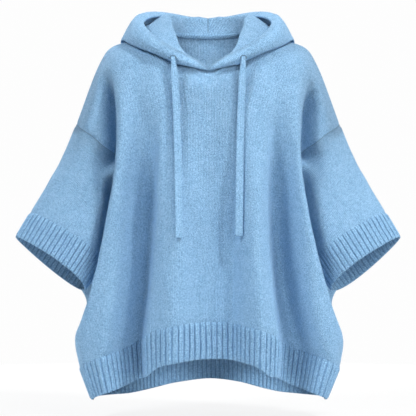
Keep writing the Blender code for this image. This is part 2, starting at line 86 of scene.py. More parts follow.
SEAM_DIP = 2.6  # how far the cloth sinks into a seam
SEAM_DIP_REACH = 3.2
ALLOWANCE = 0.6  # a seam stands up inside by this share of its dip
NECK_DIP = 1.4  # and along the shoulders and the neckline
RIB_DIP = 1.0  # and where the ribs start
HOOD_DIP = 1.35  # and on each face of the hood
EDGE_ROUND = 2.2  # how far a rounded edge reaches past the end of its sheet
EDGE_POINTS = 5
CASING_EXTRA = 2.6  # the hood's edge is turned in double round its drawcord
CASING_DEPTH = 26.0
CASING_FULL = 0.15  # its thickness fades out from this share of its depth
NECK_RIDGE = 3.4  # the neck seam's allowance pushes up a low ridge under the hood
NECK_RIDGE_BELOW = 10.0
NECK_RIDGE_REACH = 4.5
NECK_RIDGE_HALF = 60.0

TAPE_HEIGHT = 11.0
TAPE_BELOW_SEAM = 1.0
TAPE_THICKNESS = 4.2
TAPE_CLEAR = 0.6
TAPE_LIFT = 3.0  # it reaches up over the seam
TAPE_TWIST = 6.4  # length along the tape of one of its slanting stitches
TAPE_SLANT = 0.9
TAPE_ROWS = 9
TAPE_LEVELS = 8  # it lies on this many of the back's first rows

CORD_WIDTH = 15.5
CORD_EXIT_WIDTH = 9.0  # where the cord is pinched by its opening
CORD_SPREAD = 40.0  # it has its whole width this far below the opening
CORD_THICKNESS = 4.2
CORD_EXIT_THICKNESS = 5.25
CORD_CLEAR = 1.5
CORD_TUCK = 6.0  # how far its upper end goes into the opening
CORD_ROUND = 16  # points round its section
CORD_SQUARE = (0.55, 0.6)  # lower numbers make the section squarer, across and in depth
CORD_DENT = 0.55  # how far its middle sinks in
# Its cut end: how far past the end, and the share of its thickness that is left there.
CORD_END = {0.5: 1.0, 0.9: 0.86, 1.1: 0.5}
EYELET_BEADS = 14
EYELET_YARN = 1.1

WALE = 6.6  # width of one column of stitches
COURSE = 4.6  # height of one stitch
CORD_WALE = 3.9
CORD_COURSE = 3.0

# ---------------------------------------------------------------- the cut, as on the solids


def point_rows(text, count):
    """Rows of that many places each, as x y z, from a text of named rows."""
    return np.array(re.findall(r"-?[\d.]+", text), float).reshape(-1, count, 3)


# A panel's half at -X, in levels from the top seam down to the rib. In each are the places where
# seven lines down the panel cross it: the armhole seam and then the side seam, a line behind the
# fold beside the sleeve, that fold's crest, lines down from the shoulder, the neck's side and the
# neckline's curve, and the middle.
FRONT = point_rows("""
seam: -270 0 -197, -221 0 -70, -200 0 -40, -150 3 -22, -88 10 -5, -62 -54 -46, 0 -76 -94
yoke: -256 -38 -208, -215 -44 -104, -185 -50 -66, -136 -56 -50, -88 -60 -46, -52 -84 -100,
    0 -89 -130
chest: -236 -53 -221, -203 -53 -152, -181 -77 -126, -138 -87 -118, -88 -92 -122, -48 -98 -168,
    0 -98 -184
bust: -207 -60 -249, -189 -56 -216, -182 -89 -206, -141 -101 -204, -90 -107 -210, -48 -107 -240,
    0 -105 -250
arm: -172 -46 -312, -173 -55 -298, -189 -93 -296, -145 -107 -298, -93 -113 -300, -50 -114 -315,
    0 -110 -318
under: -150 0 -390, -166 -44 -384, -202 -94 -386, -150 -109 -386, -97 -116 -384, -52 -117 -388,
    0 -113 -388
waist: -172 0 -462, -188 -47 -462, -216 -93 -462, -157 -111 -462, -102 -119 -460, -55 -120 -458,
    0 -115 -456
hip: -214 0 -556, -225 -46 -556, -239 -88 -554, -165 -112 -548, -108 -121 -534, -59 -122 -526,
    0 -117 -524
skirt: -258 0 -630, -267 -44 -628, -256 -82 -622, -169 -113 -600, -111 -122 -573, -61 -122 -564,
    0 -118 -560
rib: -261 0 -692, -259 -42 -687, -245 -78 -677, -171 -113 -647, -114 -122 -614, -62 -122 -600,
    0 -118 -594
""", 7)

BACK = point_rows("""
seam: -270 0 -197, -221 0 -70, -200 0 -40, -150 3 -22, -88 10 -5, -62 62 -5, 0 86 -5
yoke: -263 32 -214, -222 46 -108, -190 54 -72, -136 62 -50, -90 72 -40, -52 88 -44, 0 98 -50
chest: -252 54 -236, -215 66 -164, -192 82 -132, -140 96 -120, -91 103 -112, -50 105 -114,
    0 107 -118
bust: -234 66 -266, -212 78 -240, -203 102 -218, -146 111 -206, -94 113 -200, -50 112 -200,
    0 111 -200
arm: -198 52 -330, -204 68 -318, -225 106 -306, -152 116 -300, -97 119 -296, -51 117 -296,
    0 115 -296
under: -150 0 -390, -184 56 -390, -248 102 -390, -160 117 -386, -101 122 -384, -53 121 -384,
    0 118 -384
waist: -172 0 -462, -216 52 -476, -281 92 -499, -170 117 -476, -107 123 -468, -56 123 -466,
    0 120 -466
hip: -214 0 -556, -238 46 -560, -251 86 -564, -176 115 -556, -112 124 -552, -59 124 -550, 0 122 -549
skirt: -258 0 -630, -265 43 -631, -257 79 -632, -180 113 -624, -115 124 -614, -61 124 -606,
    0 122 -602
rib: -261 0 -692, -259 42 -691, -247 76 -690, -180 111 -683, -117 123 -673, -62 124 -660, 0 122 -652
""", 7)
# How much further from the middle the wearer's left half reaches at each level.
# How far out each level's half at +X reaches, as a share of its half at -X.
LEFT_REACH = (1.0, 1.0, 1.0, 1.0, 1.0, 1.0, 1.012, 1.02, 1.017, 1.025)
LINE_STEPS = tuple(ACROSS_FINE * n for n in (4, 3, 3, 3, 4, 4))  # columns between two lines
LEVEL_STEPS = tuple(DOWN_FINE * n for n in (3, 2, 2, 2, 2, 2, 3, 2, 2))  # rows between two levels
SHOULDER_LINES = 5  # the lines from the armhole to the neck's side
ARMHOLE_LEVELS = 6  # the levels from the shoulder to the underarm
ARMHOLE_ROWS = sum(LEVEL_STEPS[:ARMHOLE_LEVELS - 1])

# Hanging folds, on both panels. across: where the crest or trough runs at its start, at half way
# and at the rib. start, full: the heights where it begins and where it has its whole depth.
# wide: its reach to -X and to +X. out: how far it pushes the cloth outwards. lean: how far the
# cloth slips sideways under the crest nearer the middle. square: a higher number makes its bottom
# flatter and its sides steeper.
Fold = namedtuple("Fold", "across start full wide out lean square", defaults=(0.0, 2.0))
FRONT_FOLDS = {
    "right_trough": Fold((-122, -123, -158), -150, -560, (26, 34), -24),
    "left_trough": Fold((146, 141, 202), -150, -560, (34, 26), -25),
    "middle_trough": Fold((50, 48, 50), -170, -480, (34, 34), -8),
    "right_crest": Fold((-60, -58, -62), -200, -560, (40, 40), 5),
    "left_crest": Fold((108, 108, 126), -200, -560, (30, 26), 8),
    "right_side_crest": Fold((-168, -172, -214), -240, -600, (24, 26), 9),
    "left_side_crest": Fold((186, 196, 244), -240, -600, (26, 22), 7),
}
FOLDS_END = -660.0  # the height of the folds' lower end
# The cloth itself folds a little deeper and tighter than its solid.
FRONT_DEEPER = {
    "right_trough": Fold((-117, -126, -154), -110, -380, (42, 19), -48, 9, 3.2),
    "left_trough": Fold((152, 143, 170), -110, -380, (19, 40), -48, 9, 3.2),
    "middle_trough": Fold((46, 46, 44), -150, -460, (44, 20), -24),
    "right_crest": Fold((-66, -68, -72), -170, -420, (30, 30), 17),
    "left_crest": Fold((106, 102, 108), -170, -420, (26, 14), 16),
    "right_curtain": Fold((-178, -197, -320), -90, -200, (7, 24), 9),
    "left_curtain": Fold((190, 198, 320), -90, -200, (24, 7), 9),
    "right_tuck": Fold((-206, -213, -340), -85, -150, (13, 8), -32, 12, 2.4),
    "left_tuck": Fold((212, 217, 342), -100, -180, (8, 15), -32, 12, 2.4),
}
# Beside the front panel's outer fold the sleeve's front lies this much deeper, over this reach.
SLEEVE_TUCK = 26.0
SLEEVE_TUCK_REACH = 15.0
BACK_FOLDS = {
    "right_trough": Fold((-132, -140, -165), -210, -580, (30, 36), -22),
    "left_trough": Fold((118, 126, 150), -230, -580, (34, 30), -20),
    "middle_trough": Fold((-20, -26, -30), -260, -560, (40, 40), -12),
    "right_crest": Fold((-84, -88, -96), -240, -580, (34, 34), 7),
    "left_crest": Fold((50, 56, 62), -240, -580, (38, 34), 8),
}

# The sleeve at -X. A row is a ring: its outer and its inner end, the reach of its front and its
# back, how much higher its front lies and how much lower its back than the line between its ends,
# how much it narrows towards its outer end, and how evenly its columns are spread round it.
Ring = namedtuple("Ring", "outer inner front back rise drop pointed even")
SLEEVE = {
    "start": Ring((-280, -2, -223), (-164, -4, -398), -63, 60, 3, 2, 0.0, 0.0),
    "upper": Ring((-295, -8, -260), (-180, -12, -420), -72, 46, 8, 4, 0.1, 0.25),
    "lower": Ring((-323, -24, -314), (-199, -26, -452), -80, 24, 13, 8, 0.2, 0.6),
    "rib": Ring((-360, -34, -377), (-214, -36, -478), -87, 10, 16, 10, 0.3, 1.0),
    "end": Ring((-388, -44, -425), (-250, -45, -531), -92, 3, 17, 12, 0.35, 1.0),
}
LEFT_CUFF_DROP = 4.0  # the back of the left cuff's edge hangs a little lower
SLEEVE_STEPS = tuple(DOWN_FINE * n for n in (1, 2, 3, 3, 1))

# The hood's half at -X, lying down, at stations round the neck from the front. At each the cloth
# rises from the neckline to a ridge, falls outside it to the fold that lies on the shoulder or
# hangs behind, and comes up again as the outer wall to its brim and the face opening's edge. The
# places are the ridge, a place on the way down, the fold, one on the wall, the brim and the edge.
HOOD = point_rows("""
front: 0 -76 -91, 0 -77 -90, 0 -78.4 -89.6, 0 -79.6 -89, 0 -80.6 -87.6, 0 -81.2 -85.8
lapel: -38 -74 -65, -37 -80 -71, -36 -87 -82, -36 -92 -76, -36 -91 -68, -36 -87 -64.5
collar: -58 -63 -40, -61 -75 -55, -62 -88 -77, -64 -94 -68, -63 -92 -56, -62 -87 -51
corner: -66 -45 -16, -80 -62 -36, -92 -84 -63, -96 -90 -54, -92 -87 -42, -88 -81 -36.5
fore: -73 -24 2, -98 -42 -14, -122 -72 -50, -125 -77 -38, -119 -73 -24, -111 -65 -20
shoulder: -78 2 22, -113 -12 0, -153 -43 -36.5, -153 -49 -18, -142 -45 0, -130 -37 2
side: -86 26 30, -124 10 6, -176 3 -22, -166 0 -6, -150 -3 17, -132 -5 15
rear: -78 52 33, -115 50 11, -175 50 -44, -163 48 4, -139 43 35, -120 28 26
nape_side: -54 76 33, -97 84 8, -140 112 -116, -134 118 -24, -106 92 42, -90 73 33
nape: -26 90 31, -46 112 -48, -76 134 -172, -72 154 -52, -54 132 37, -46 120 34
centre: 0 94 30, 0 118 -60, 0 140 -190, 0 166 -60, 0 152 26, 0 142 28
""", 6)
HOOD_LEFT_REACH = 0.988  # its other half lies a little closer to the neck
STATION_STEPS = tuple(ACROSS_FINE * n for n in (2, 2, 1, 1, 1, 1, 2, 2, 2, 2))
HOOD_STEPS = tuple(DOWN_FINE * n for n in (3, 3, 3, 2, 2, 1))

# The drawcords, each from its opening in the hood's edge down the front, in (x, z).
CORDS = {
    "drawcord_right": ((-70, -66), (-68, -84), (-62, -190), (-57, -425)),
    "drawcord_left": ((71, -66), (70, -84), (65, -190), (61.5, -421)),
}
CORD_STEPS = (12, 30, 48)

# ---------------------------------------------------------------- creases, in millimetres

# Soft creases are laid on the flat cloth. start and end: where one starts and ends, as
# (across, down) on the flat piece, across to +X from the piece's middle and down from its top edge.
# bow: how far its middle bends to +X. wide: its reach to each side. out: how far it stands out.
Crease = namedtuple("Crease", "start end bow wide out")
CREASES = {
    "front": (
        ((-176, 62), (-120, 300), -10, 15, -4.0),
        ((-150, 120), (-112, 420), 6, 20, 2.6),
        ((-96, 190), (-88, 520), 5, 17, -3.0),
        ((-62, 250), (-50, 470), -5, 14, 1.8),
        ((-24, 300), (-30, 500), 4, 22, -1.8),
        ((24, 110), (30, 400), -6, 20, -2.2),
        ((80, 160), (86, 430), 5, 16, 2.2),
        ((112, 250), (134, 560), 8, 16, -3.2),
        ((168, 60), (134, 260), 8, 15, -3.6),
        ((178, 190), (196, 430), 6, 15, 2.4),
        ((-196, 330), (-236, 520), -8, 16, -2.6),
        ((-120, 20), (-170, 96), -10, 12, 2.0),
        ((124, 18), (176, 90), 10, 12, 2.0),
        ((216, 400), (248, 560), 8, 15, -2.4),
    ),
    "back": (
        ((-168, 80), (-130, 330), -8, 18, -3.6),
        ((-70, 190), (-60, 520), 7, 22, 2.6),
        ((-18, 170), (-30, 430), -5, 20, -2.4),
        ((46, 230), (60, 560), 6, 20, 2.6),
        ((92, 150), (96, 420), -6, 16, -2.8),
        ((170, 90), (140, 300), 8, 16, -3.4),
        ((-206, 360), (-240, 560), -6, 18, -2.8),
        ((210, 380), (240, 560), 8, 18, -2.6),
        ((-40, 40), (60, 52), 10, 14, -1.6),
    ),
    "right_sleeve": (
        ((-140, 30), (-110, 150), 6, 13, -2.6),
        ((-92, 50), (-72, 178), -5, 12, 2.0),
        ((-48, 24), (-40, 130), 4, 13, -2.2),
        ((60, 40), (74, 160), 5, 16, -2.4),
        ((150, 30), (128, 150), -6, 16, 2.2),
    ),
    "left_sleeve": (
        ((-132, 44), (-116, 170), -5, 14, -2.6),
        ((-84, 30), (-66, 150), 5, 13, 2.2),
        ((-36, 60), (-30, 160), 4, 12, -2.0),
        ((70, 30), (80, 150), 5, 16, -2.2),
        ((140, 50), (122, 170), -6, 15, 2.4),
    ),
    "right_hood": (
        ((-34, 60), (-58, 128), 6, 8, -2.0),
        ((30, 40), (20, 110), 6, 10, -2.2),
        ((70, 60), (92, 150), -8, 11, 2.0),
        ((96, 20), (104, 84), 4, 8, -1.8),
        ((44, 250), (70, 300), 5, 8, -1.8),
        ((66, 246), (90, 300), 5, 7, -2.2),
        ((90, 250), (108, 306), 4, 7, -1.6),
    ),
    "left_hood": (
        ((-30, 64), (-52, 134), 6, 9, -2.0),
        ((36, 44), (24, 120), -6, 10, -2.0),
        ((66, 70), (96, 150), 8, 12, 2.0),
        ((92, 24), (100, 90), 4, 8, -1.6),
        ((40, 246), (64, 300), 5, 8, -2.0),
        ((62, 250), (84, 306), 5, 7, -1.8),
        ((84, 248), (104, 306), 4, 7, -1.8),
    ),
}
CREASES = {name: [Crease(*row) for row in rows] for name, rows in CREASES.items()}
CREASE_FADE = 0.3  # share of a crease's length over which it fades at each end
CREASE_PAST_END = 0.35  # and how much of it is still there at the end itself
SOFTNESS = 0.7  # height of the cloth's broad unevenness
SOFT_WAVES = ((71, 93, 0.3), (-117, 64, 1.9), (49, -143, 4.1), (157, 51, 2.6))

# ---------------------------------------------------------------- looks, in metres

YARN_DARK = (0.125, 0.255, 0.430)
YARN = (0.226, 0.422, 0.646)
YARN_LIGHT = (0.365, 0.590, 0.810)
SHEEN = (0.72, 0.86, 1.0)
FLECK_SIZE = 0.0015  # the melange's flecks
CLOUD_SIZE = 0.019  # the slow change of its tone
CLEAR_KNIT = 0.26  # the stitches show more clearly this near to a piece's upper seam

NAP = {"Density": 14000.0, "Length": 3.4 * MM, "Thickness": 0.16 * MM}  # fibres in a square metre
NAP_LEAN = 1.0  # radians that a fibre leans away from upright at most
NAP_VARY = (0.5, 1.3)  # the least and the most of a fibre's size
SEAM_STITCH = {"Spacing": 4.4 * MM, "Length": 4.6 * MM, "Thickness": 1.5 * MM}

CAMERA_PLACE = (0.0, -4.0, -0.367)
CAMERA_LENS = 168.9
FLOOR_HEIGHT = -0.80
FLOOR_REACH = 1.5
BACKGROUND = 0.985
WORLD_LIGHT = 0.06
FLOOR_GLOW = 0.82
MIDDLE = (0.0, 0.0, -0.35)

# azimuth: degrees from the front towards +X. cone: degrees, for the narrow lights that reach in.
fields = "azimuth elevation distance size power target cone colour"
Light = namedtuple("Light", fields, defaults=(MIDDLE, 0, (1.0, 1.0, 1.0)))
LIGHTS = {
    "key": Light(50, 54, 3.2, 0.5, 74.0, colour=(1.0, 0.99, 0.97)),
    "left": Light(-50, 42, 3.2, 1.0, 67.0, colour=(0.98, 0.99, 1.0)),
    "right": Light(75, 12, 3.2, 1.2, 30.0),
    "front": Light(22, 22, 3.2, 1.2, 29.0),
    "inside_right": Light(-20, 55, 0.16, 0.08, 0.008, (-0.1, 0.12, -0.75)),
    "inside_left": Light(20, 55, 0.16, 0.08, 0.008, (0.13, 0.12, -0.75)),
    "hood_right": Light(0, 0, 0.05, 0.006, 0.005, (-0.123, 0.105, 0.013)),
    "hood_left": Light(0, 0, 0.05, 0.006, 0.003, (0.122, 0.105, 0.013)),
    "rear_left": Light(-140, 25, 3.2, 1.2, 62.0),
    "rear_right": Light(150, 25, 3.2, 1.6, 34.0),
    "neck": Light(0, 8, 1.4, 0.03, 42.0, (0.0, 0.09, -0.065), cone=8),
    "hem_right": Light(-3, 0.3, 1.7, 0.03, 80.0, (-0.08, 0.1, -0.785), cone=7),
    "hem_left": Light(4, 0.3, 1.7, 0.03, 120.0, (0.11, 0.1, -0.785), cone=6),
}

# ---------------------------------------------------------------- sheets


def mixed(a, b, share):
    return a + (b - a) * share


def smooth(share):
    """The share, kept from 0 to 1, with soft ends."""
    share = np.clip(share, 0, 1)
    return share * share * (3 - 2 * share)


def unit(way):
    return way / np.maximum(np.linalg.norm(way, axis=-1, keepdims=True), 1e-9)


def curve(points, steps):
    """Points of a smooth curve through the given ones, with that many steps in each stretch. Rows
    of points give a curve down each of their columns."""
    points = np.asarray(points, float)
    knots = np.concatenate([2 * points[:1] - points[1:2], points, 2 * points[-1:] - points[-2:-1]])
    gaps = np.sqrt(np.linalg.norm(np.diff(knots, axis=0), axis=-1, keepdims=True)) + 1e-6
    at = np.concatenate([0 * gaps[:1], np.cumsum(gaps, axis=0)])
    found = [points[0]]
    for k, count in enumerate(steps):
        p, t = knots[k:k + 4], at[k:k + 4]
        for step in range(1, count + 1):
            s = t[1] + (t[2] - t[1]) * step / count
            a = [mixed(p[i], p[i + 1], (s - t[i]) / (t[i + 1] - t[i])) for i in range(3)]
            b = [mixed(a[i], a[i + 1], (s - t[i]) / (t[i + 2] - t[i])) for i in range(2)]
            found.append(mixed(b[0], b[1], (s - t[1]) / (t[2] - t[1])))
    return np.array(found)


def cornered(points, steps, *corners):
    """The same, but a curve of its own between each two corners."""
    marks = (0, *corners, len(points) - 1)
    parts = [curve(points[a:b + 1], steps[a:b]) for a, b in zip(marks, marks[1:])]
    return np.concatenate([parts[0]] + [part[1:] for part in parts[1:]])


def both_halves(half, left_reach):
    """A level's points right across the panel, from the half at -X."""
    return np.vstack([half, half[-2::-1] * (-left_reach, 1, 1)])


def fold_push(x, z, folds):
    """How far the hanging folds move the cloth outwards and to +X at each place."""
    push, slip = np.zeros(x.shape), np.zeros(x.shape)
    for fold in folds:
        share = (fold.start - z) / (fold.start - FOLDS_END)
        first, half_way, last = fold.across
        line = (1 - share) * (1 - 2 * share) * first + 4 * share * (1 - share) * half_way
        line += share * (2 * share - 1) * last
        reach = np.where(x < line, *fold.wide)
        depth = smooth((fold.start - z) / (fold.start - fold.full))
        depth *= np.exp(-(np.abs((x - line) / reach) ** fold.square))
        push += fold.out * depth
        slip -= np.copysign(fold.lean, line) * depth
    return push, slip


def panel_sheet(levels, folds, outwards):
    """The sheet of the front or the back, from its levels down and its lines across. The front's
    folds also reach into the middle of its armhole seams."""
    table = np.array([both_halves(row, reach) for row, reach in zip(levels, LEFT_REACH)])
    lines = curve(table, LEVEL_STEPS)
    for line in (0, -1):
        lines[:, line] = cornered(table[:, line], LEVEL_STEPS, ARMHOLE_LEVELS - 1)
    steps = LINE_STEPS + LINE_STEPS[::-1]
    sheet = curve(lines.transpose(1, 0, 2), steps).transpose(1, 0, 2)
    sheet[0] = cornered(table[0], steps, SHOULDER_LINES - 1, table.shape[1] - SHOULDER_LINES)
    r, c = np.indices(sheet.shape[:2])
    edge = smooth(3 * r / ARMHOLE_ROWS) * smooth(4 * (1 - r / ARMHOLE_ROWS)) * (outwards < 0)
    free = mixed(edge, 1, smooth(np.minimum(c, c[:, ::-1]) / LINE_STEPS[0])) * (r > 0)
    push, slip = fold_push(sheet[..., 0], sheet[..., 2], folds)
    return sheet + np.stack([free * slip, outwards * free * push, 0 * push], axis=-1)


def armhole_loop(front, back, side):
    """The seam round the armhole: from the shoulder down the front, and up the back."""
    column = 0 if side == RIGHT else -1
    down = front[:ARMHOLE_ROWS + 1, column]
    return np.vstack([down, back[ARMHOLE_ROWS - 1:0:-1, column]])


def tucked(sleeve, way, front, side):
    """The sleeve with its front pressed back beside the front panel's outer fold."""
    column = sum(LINE_STEPS[:2])
    fold = front[:, column if side == RIGHT else -1 - column]
    heights = np.argsort(fold[:, 2])
    crest = np.interp(sleeve[..., 2], fold[heights, 2], np.abs(fold[heights, 0]))
    beyond = np.maximum(np.abs(sleeve[..., 0]) - crest, 0) / SLEEVE_TUCK_REACH
    rows = smooth(np.arange(len(sleeve)) / (0.8 * DOWN_FINE))[:, None]
    push = SLEEVE_TUCK * np.exp(-(beyond ** 2)) * np.clip(-way[..., 1], 0, 1) * rows
    return sleeve + push[..., None] * (0, 1, 0)


def ring_angles(loop):
    """Where the armhole's points lie between its top and its underarm, as angles round a ring."""
    half = len(loop) // 2
    down = loop[half] - loop[0]
    share = (loop - loop[0]) @ down / (down @ down)
    angles = np.arccos(np.clip(1 - 2 * share, -1, 1))
    angles[half + 1:] *= -1
    return angles


def sleeve_ring(row, angles):
    """A ring of the sleeve, in the order of armhole_loop, for the half at -X."""
    outer, inner = np.array(row.outer, float), np.array(row.inner, float)
    spread = np.linspace(0, 2 * math.pi, len(angles), endpoint=False)
    spread[len(angles) // 2 + 1:] -= 2 * math.pi
    middle, reach = (outer + inner) / 2, (outer - inner) / 2
    upwards = unit(np.array([-reach[2], 0, reach[0]]))
    upwards *= math.copysign(1, upwards[2])
    angle = mixed(angles, spread, row.even)[:, None]
    depth = np.sin(angle) * (1 - row.pointed * np.cos(angle))
    deep = depth * np.where(depth < 0, row.back - middle[1], middle[1] - row.front)
    lift = depth * np.where(depth < 0, row.drop, row.rise)
    return middle + reach * np.cos(angle) - deep * (0, 1, 0) + upwards * lift


def sleeve_sheet(front, back, side):
    """The rings of a sleeve and its cuff: from the armhole to the cuff's open end."""
    loop = armhole_loop(front, back, side)
    rows = list(SLEEVE.values())
    if side == LEFT:
        rows[-1] = rows[-1]._replace(drop=rows[-1].drop + LEFT_CUFF_DROP)
    rings = [sleeve_ring(row, ring_angles(loop)) * (-side, 1, 1) for row in rows]
    return curve(np.array([loop] + rings), SLEEVE_STEPS)


def hood_sheet(front, back, side):
    """Rows from the neckline to the face opening, columns from the front round to the nape."""
    across, middle = sum(LINE_STEPS[:SHOULDER_LINES - 1]), sum(LINE_STEPS)
    neckline = np.vstack([front[0, middle:across - 1:-1], back[0, across + 1:middle + 1]])
    lines = curve(HOOD, STATION_STEPS).transpose(1, 0, 2)
    sheet = curve(np.concatenate([neckline[None], lines]), HOOD_STEPS)
    if side == LEFT:
        away = np.linspace(0, 1, len(sheet))[:, None] ** 0.5
        sheet[..., 0] *= -1 + (1 - HOOD_LEFT_REACH) * away
    return sheet


# ---------------------------------------------------------------- cloth


def running(points, axis=0):
    """How far it is from the first point to each, along their line."""
    steps = np.linalg.norm(np.diff(points, axis=axis), axis=-1)
    return np.insert(np.cumsum(steps, axis=axis), 0, 0, axis=axis)


def flat_cloth(sheet):
    """The piece's flat form: how far across from its middle and how far down each point lies."""
    across, down = running(sheet, 1), running(sheet)
    return across - across[:, sheet.shape[1] // 2, None], down


def between_ends(count):
    """0 at both ends of a row of fine points, and 1 two coarse steps away from them."""
    places = np.arange(count)
    return smooth(np.minimum(places, places[::-1]) / (2 * DOWN_FINE))


def creased(sheet, way, name, held_sides=True):
    """The sheet with its creases and its broad unevenness, which fade towards sewn edges."""
    across, down = flat_cloth(sheet)
    push = np.zeros(across.shape)
    for wave_across, wave_down, phase in SOFT_WAVES:
        push += np.sin(2 * math.pi * (across / wave_across + down / wave_down) + phase)
    push *= SOFTNESS / len(SOFT_WAVES)
    for crease in CREASES[name]:
        start, run = np.array(crease.start, float), np.subtract(crease.end, crease.start)
        along = ((across - start[0]) * run[0] + (down - start[1]) * run[1]) / (run @ run)
        inside = np.clip(along, 0, 1)
        line = start[0] + run[0] * inside + crease.bow * 4 * inside * (1 - inside)
        aside = np.hypot(across - line, down - (start[1] + run[1] * inside))
        fade = smooth(np.minimum(along, 1 - along) / CREASE_FADE + CREASE_PAST_END)
        push += crease.out * np.exp(-((aside / crease.wide) ** 2)) * fade
    push *= between_ends(len(sheet))[:, None]
    if held_sides:
        push *= between_ends(sheet.shape[1])
    return sheet + way * push[..., None]


def quad_crosses(sheet):
    """The cross product of every quad's diagonals."""
    return np.cross(sheet[1:, 1:] - sheet[:-1, :-1], sheet[1:, :-1] - sheet[:-1, 1:])


def ring_closed(sheet):
    return np.concatenate([sheet, sheet[:, :1]], axis=1)


def half_walls(sheets, closed, flipped):
    """For each sheet, the unit way outwards at each point and the half wall along it. Sheets that
    are sewn together share both along their seam, so that their faces meet."""
    keys, near = {}, {}
    for name, sheet in sheets.items():
        columns = sheet.shape[1]
        keys[name] = [tuple(point) for point in np.round(sheet, 3).reshape(-1, 3).tolist()]
        normals = unit(quad_crosses(ring_closed(sheet) if name in closed else sheet))
        normals *= -1 if name in flipped else 1
        for r, c in np.ndindex(*normals.shape[:2]):
            for row, column in ((r, c), (r, c + 1), (r + 1, c), (r + 1, c + 1)):
                key = keys[name][row * columns + column % columns]
                near.setdefault(key, []).append(normals[r, c])
    ways, halves = {}, {}
    for name, sheet in sheets.items():
        met = [np.array(near[key]) for key in keys[name]]
        out = [unit(normals.sum(axis=0)) for normals in met]
        half = [WALL / 2 / max((n @ way).min(), SHARPEST) for n, way in zip(met, out)]
        ways[name] = np.array(out).reshape(sheet.shape)
        halves[name] = np.array(half).reshape(sheet.shape[:2])
    return ways, halves


EDGES = {
    "top": [(0, 1)],
    "bottom": [(-1, -2)],
    "sides": [(np.s_[:, 0], np.s_[:, 1]), (np.s_[:, -1], np.s_[:, -2])],
}


def drawn_back(sheet, *edges):
    """The sheet with its sewn edges just short of their seams."""
    sheet = sheet.copy()
    for edge, next_in in sum((EDGES[name] for name in edges), []):
        sheet[edge] += SEAM_HALF_GAP * unit(sheet[next_in] - sheet[edge])
    return sheet


def seam_dip(sheet, top=0.0, bottom=0.0, sides=0.0):
    """How far each point of a face sinks towards the sewn edges near it."""
    across, down = flat_cloth(sheet)
    aside = np.minimum(across - across[:, :1], across[:, -1:] - across)
    edges = (top, down), (bottom, down[-1] - down), (sides, aside)
    return np.max([depth * np.exp(-away / SEAM_DIP_REACH) for depth, away in edges], axis=0)


def end_way(sheet):
    """The way out past a sheet's last row, as long as its edge is rounded."""
    return EDGE_ROUND * unit(sheet[-1] - sheet[-2])


def rounded_end(outer, inner, beyond):
    """Rows that carry a sheet's end round from its outer to its inner face."""
    middle, half = (outer + inner) / 2, (outer - inner) / 2
    turns = math.pi * np.arange(1, EDGE_POINTS + 1) / (EDGE_POINTS + 1)
    return [middle + half * math.cos(turn) + beyond * math.sin(turn) for turn in turns]


def shell(name, outer, inner, material, flat, closed=False, beyond=None, shift=0.0):
    """A closed wall round two faces. flat gives the knit's place, across and down, as its UV map,
    which the inner face has shifted. With beyond, the last row's edge is rounded."""
    rounding = [] if beyond is None else rounded_end(outer[-1], inner[-1], beyond)
    loop = np.array([*outer, *rounding, *inner[::-1]])
    across, down = flat
    turned = [(across[-1], down[-1] + EDGE_ROUND)] * len(rounding)
    places = [*zip(across, down), *turned, *zip(across[::-1] + shift, down[::-1])]
    uv = np.array([np.stack(place, axis=-1) for place in places + places[:1]])
    if closed:
        lap = across[0, -1] + across[0, 1] - 2 * across[0, 0]
        uv = np.concatenate([uv, uv[:, :1] + (lap, 0)], axis=1)
        return grid_piece(name, loop, uv, material)
    rows, ends = len(outer), []
    for c, turn in ((0, 1), (outer.shape[1] - 1, -1)):
        rings = [(r, -1 - r, -2 - r, r + 1)[::turn] for r in range(rows - 1)]
        if rounding:
            rings.append(range(rows - 1, rows + len(rounding) + 1)[::-turn])
        ends += [[(k % len(loop), c) for k in ring] for ring in rings]
    return grid_piece(name, loop, uv, material, ends)


def grid_piece(name, points, uv, material, ends=()):
    """A smooth piece from rows of points, whose faces point outwards. uv is their place on the
    knit, with one more row or column than the points where the grid closes on itself. ends are
    further faces, each a ring of places in the grid."""
    rows, columns = points.shape[:2]
    rings = [
        ((k, c), (k, c + 1), (k + 1, c + 1), (k + 1, c))
        for k in range(uv.shape[0] - 1) for c in range(uv.shape[1] - 1)
    ]
    rings += ends
    faces = [[k % rows * columns + c % columns for k, c in ring] for ring in rings]
    corners = np.array([uv[place] for ring in rings for place in ring]) * MM
    mesh = bpy.data.meshes.new(name)
    mesh.from_pydata((points * MM).reshape(-1, 3).tolist(), [], faces)
    mesh.uv_layers.new(name="knit").data.foreach_set("uv", corners.astype(np.float32).ravel())
    if enclosed(mesh) < 0:
        mesh.flip_normals()
    mesh.shade_smooth()
    mesh.set_sharp_from_angle(angle=math.radians(SHARP_EDGE))
    mesh.materials.append(material)
    return linked(name, mesh)


def linked(name, data):
    made = bpy.data.objects.new(name, data)
    bpy.context.collection.objects.link(made)
    return made


def triangles(mesh):
    """The corners of a mesh's triangles: points, and three of them for each."""
    mesh.calc_loop_triangles()
    points = [v.co.copy() for v in mesh.vertices]
    return points, [tuple(t.vertices) for t in mesh.loop_triangles]


def enclosed(mesh):
    """The volume inside a mesh, below zero where its faces point inwards."""
    points, corners = triangles(mesh)
    a, b, c = np.array(points)[np.array(corners).T]
    return float((a * np.cross(b, c)).sum()) / 6


# ---------------------------------------------------------------- knitted pieces


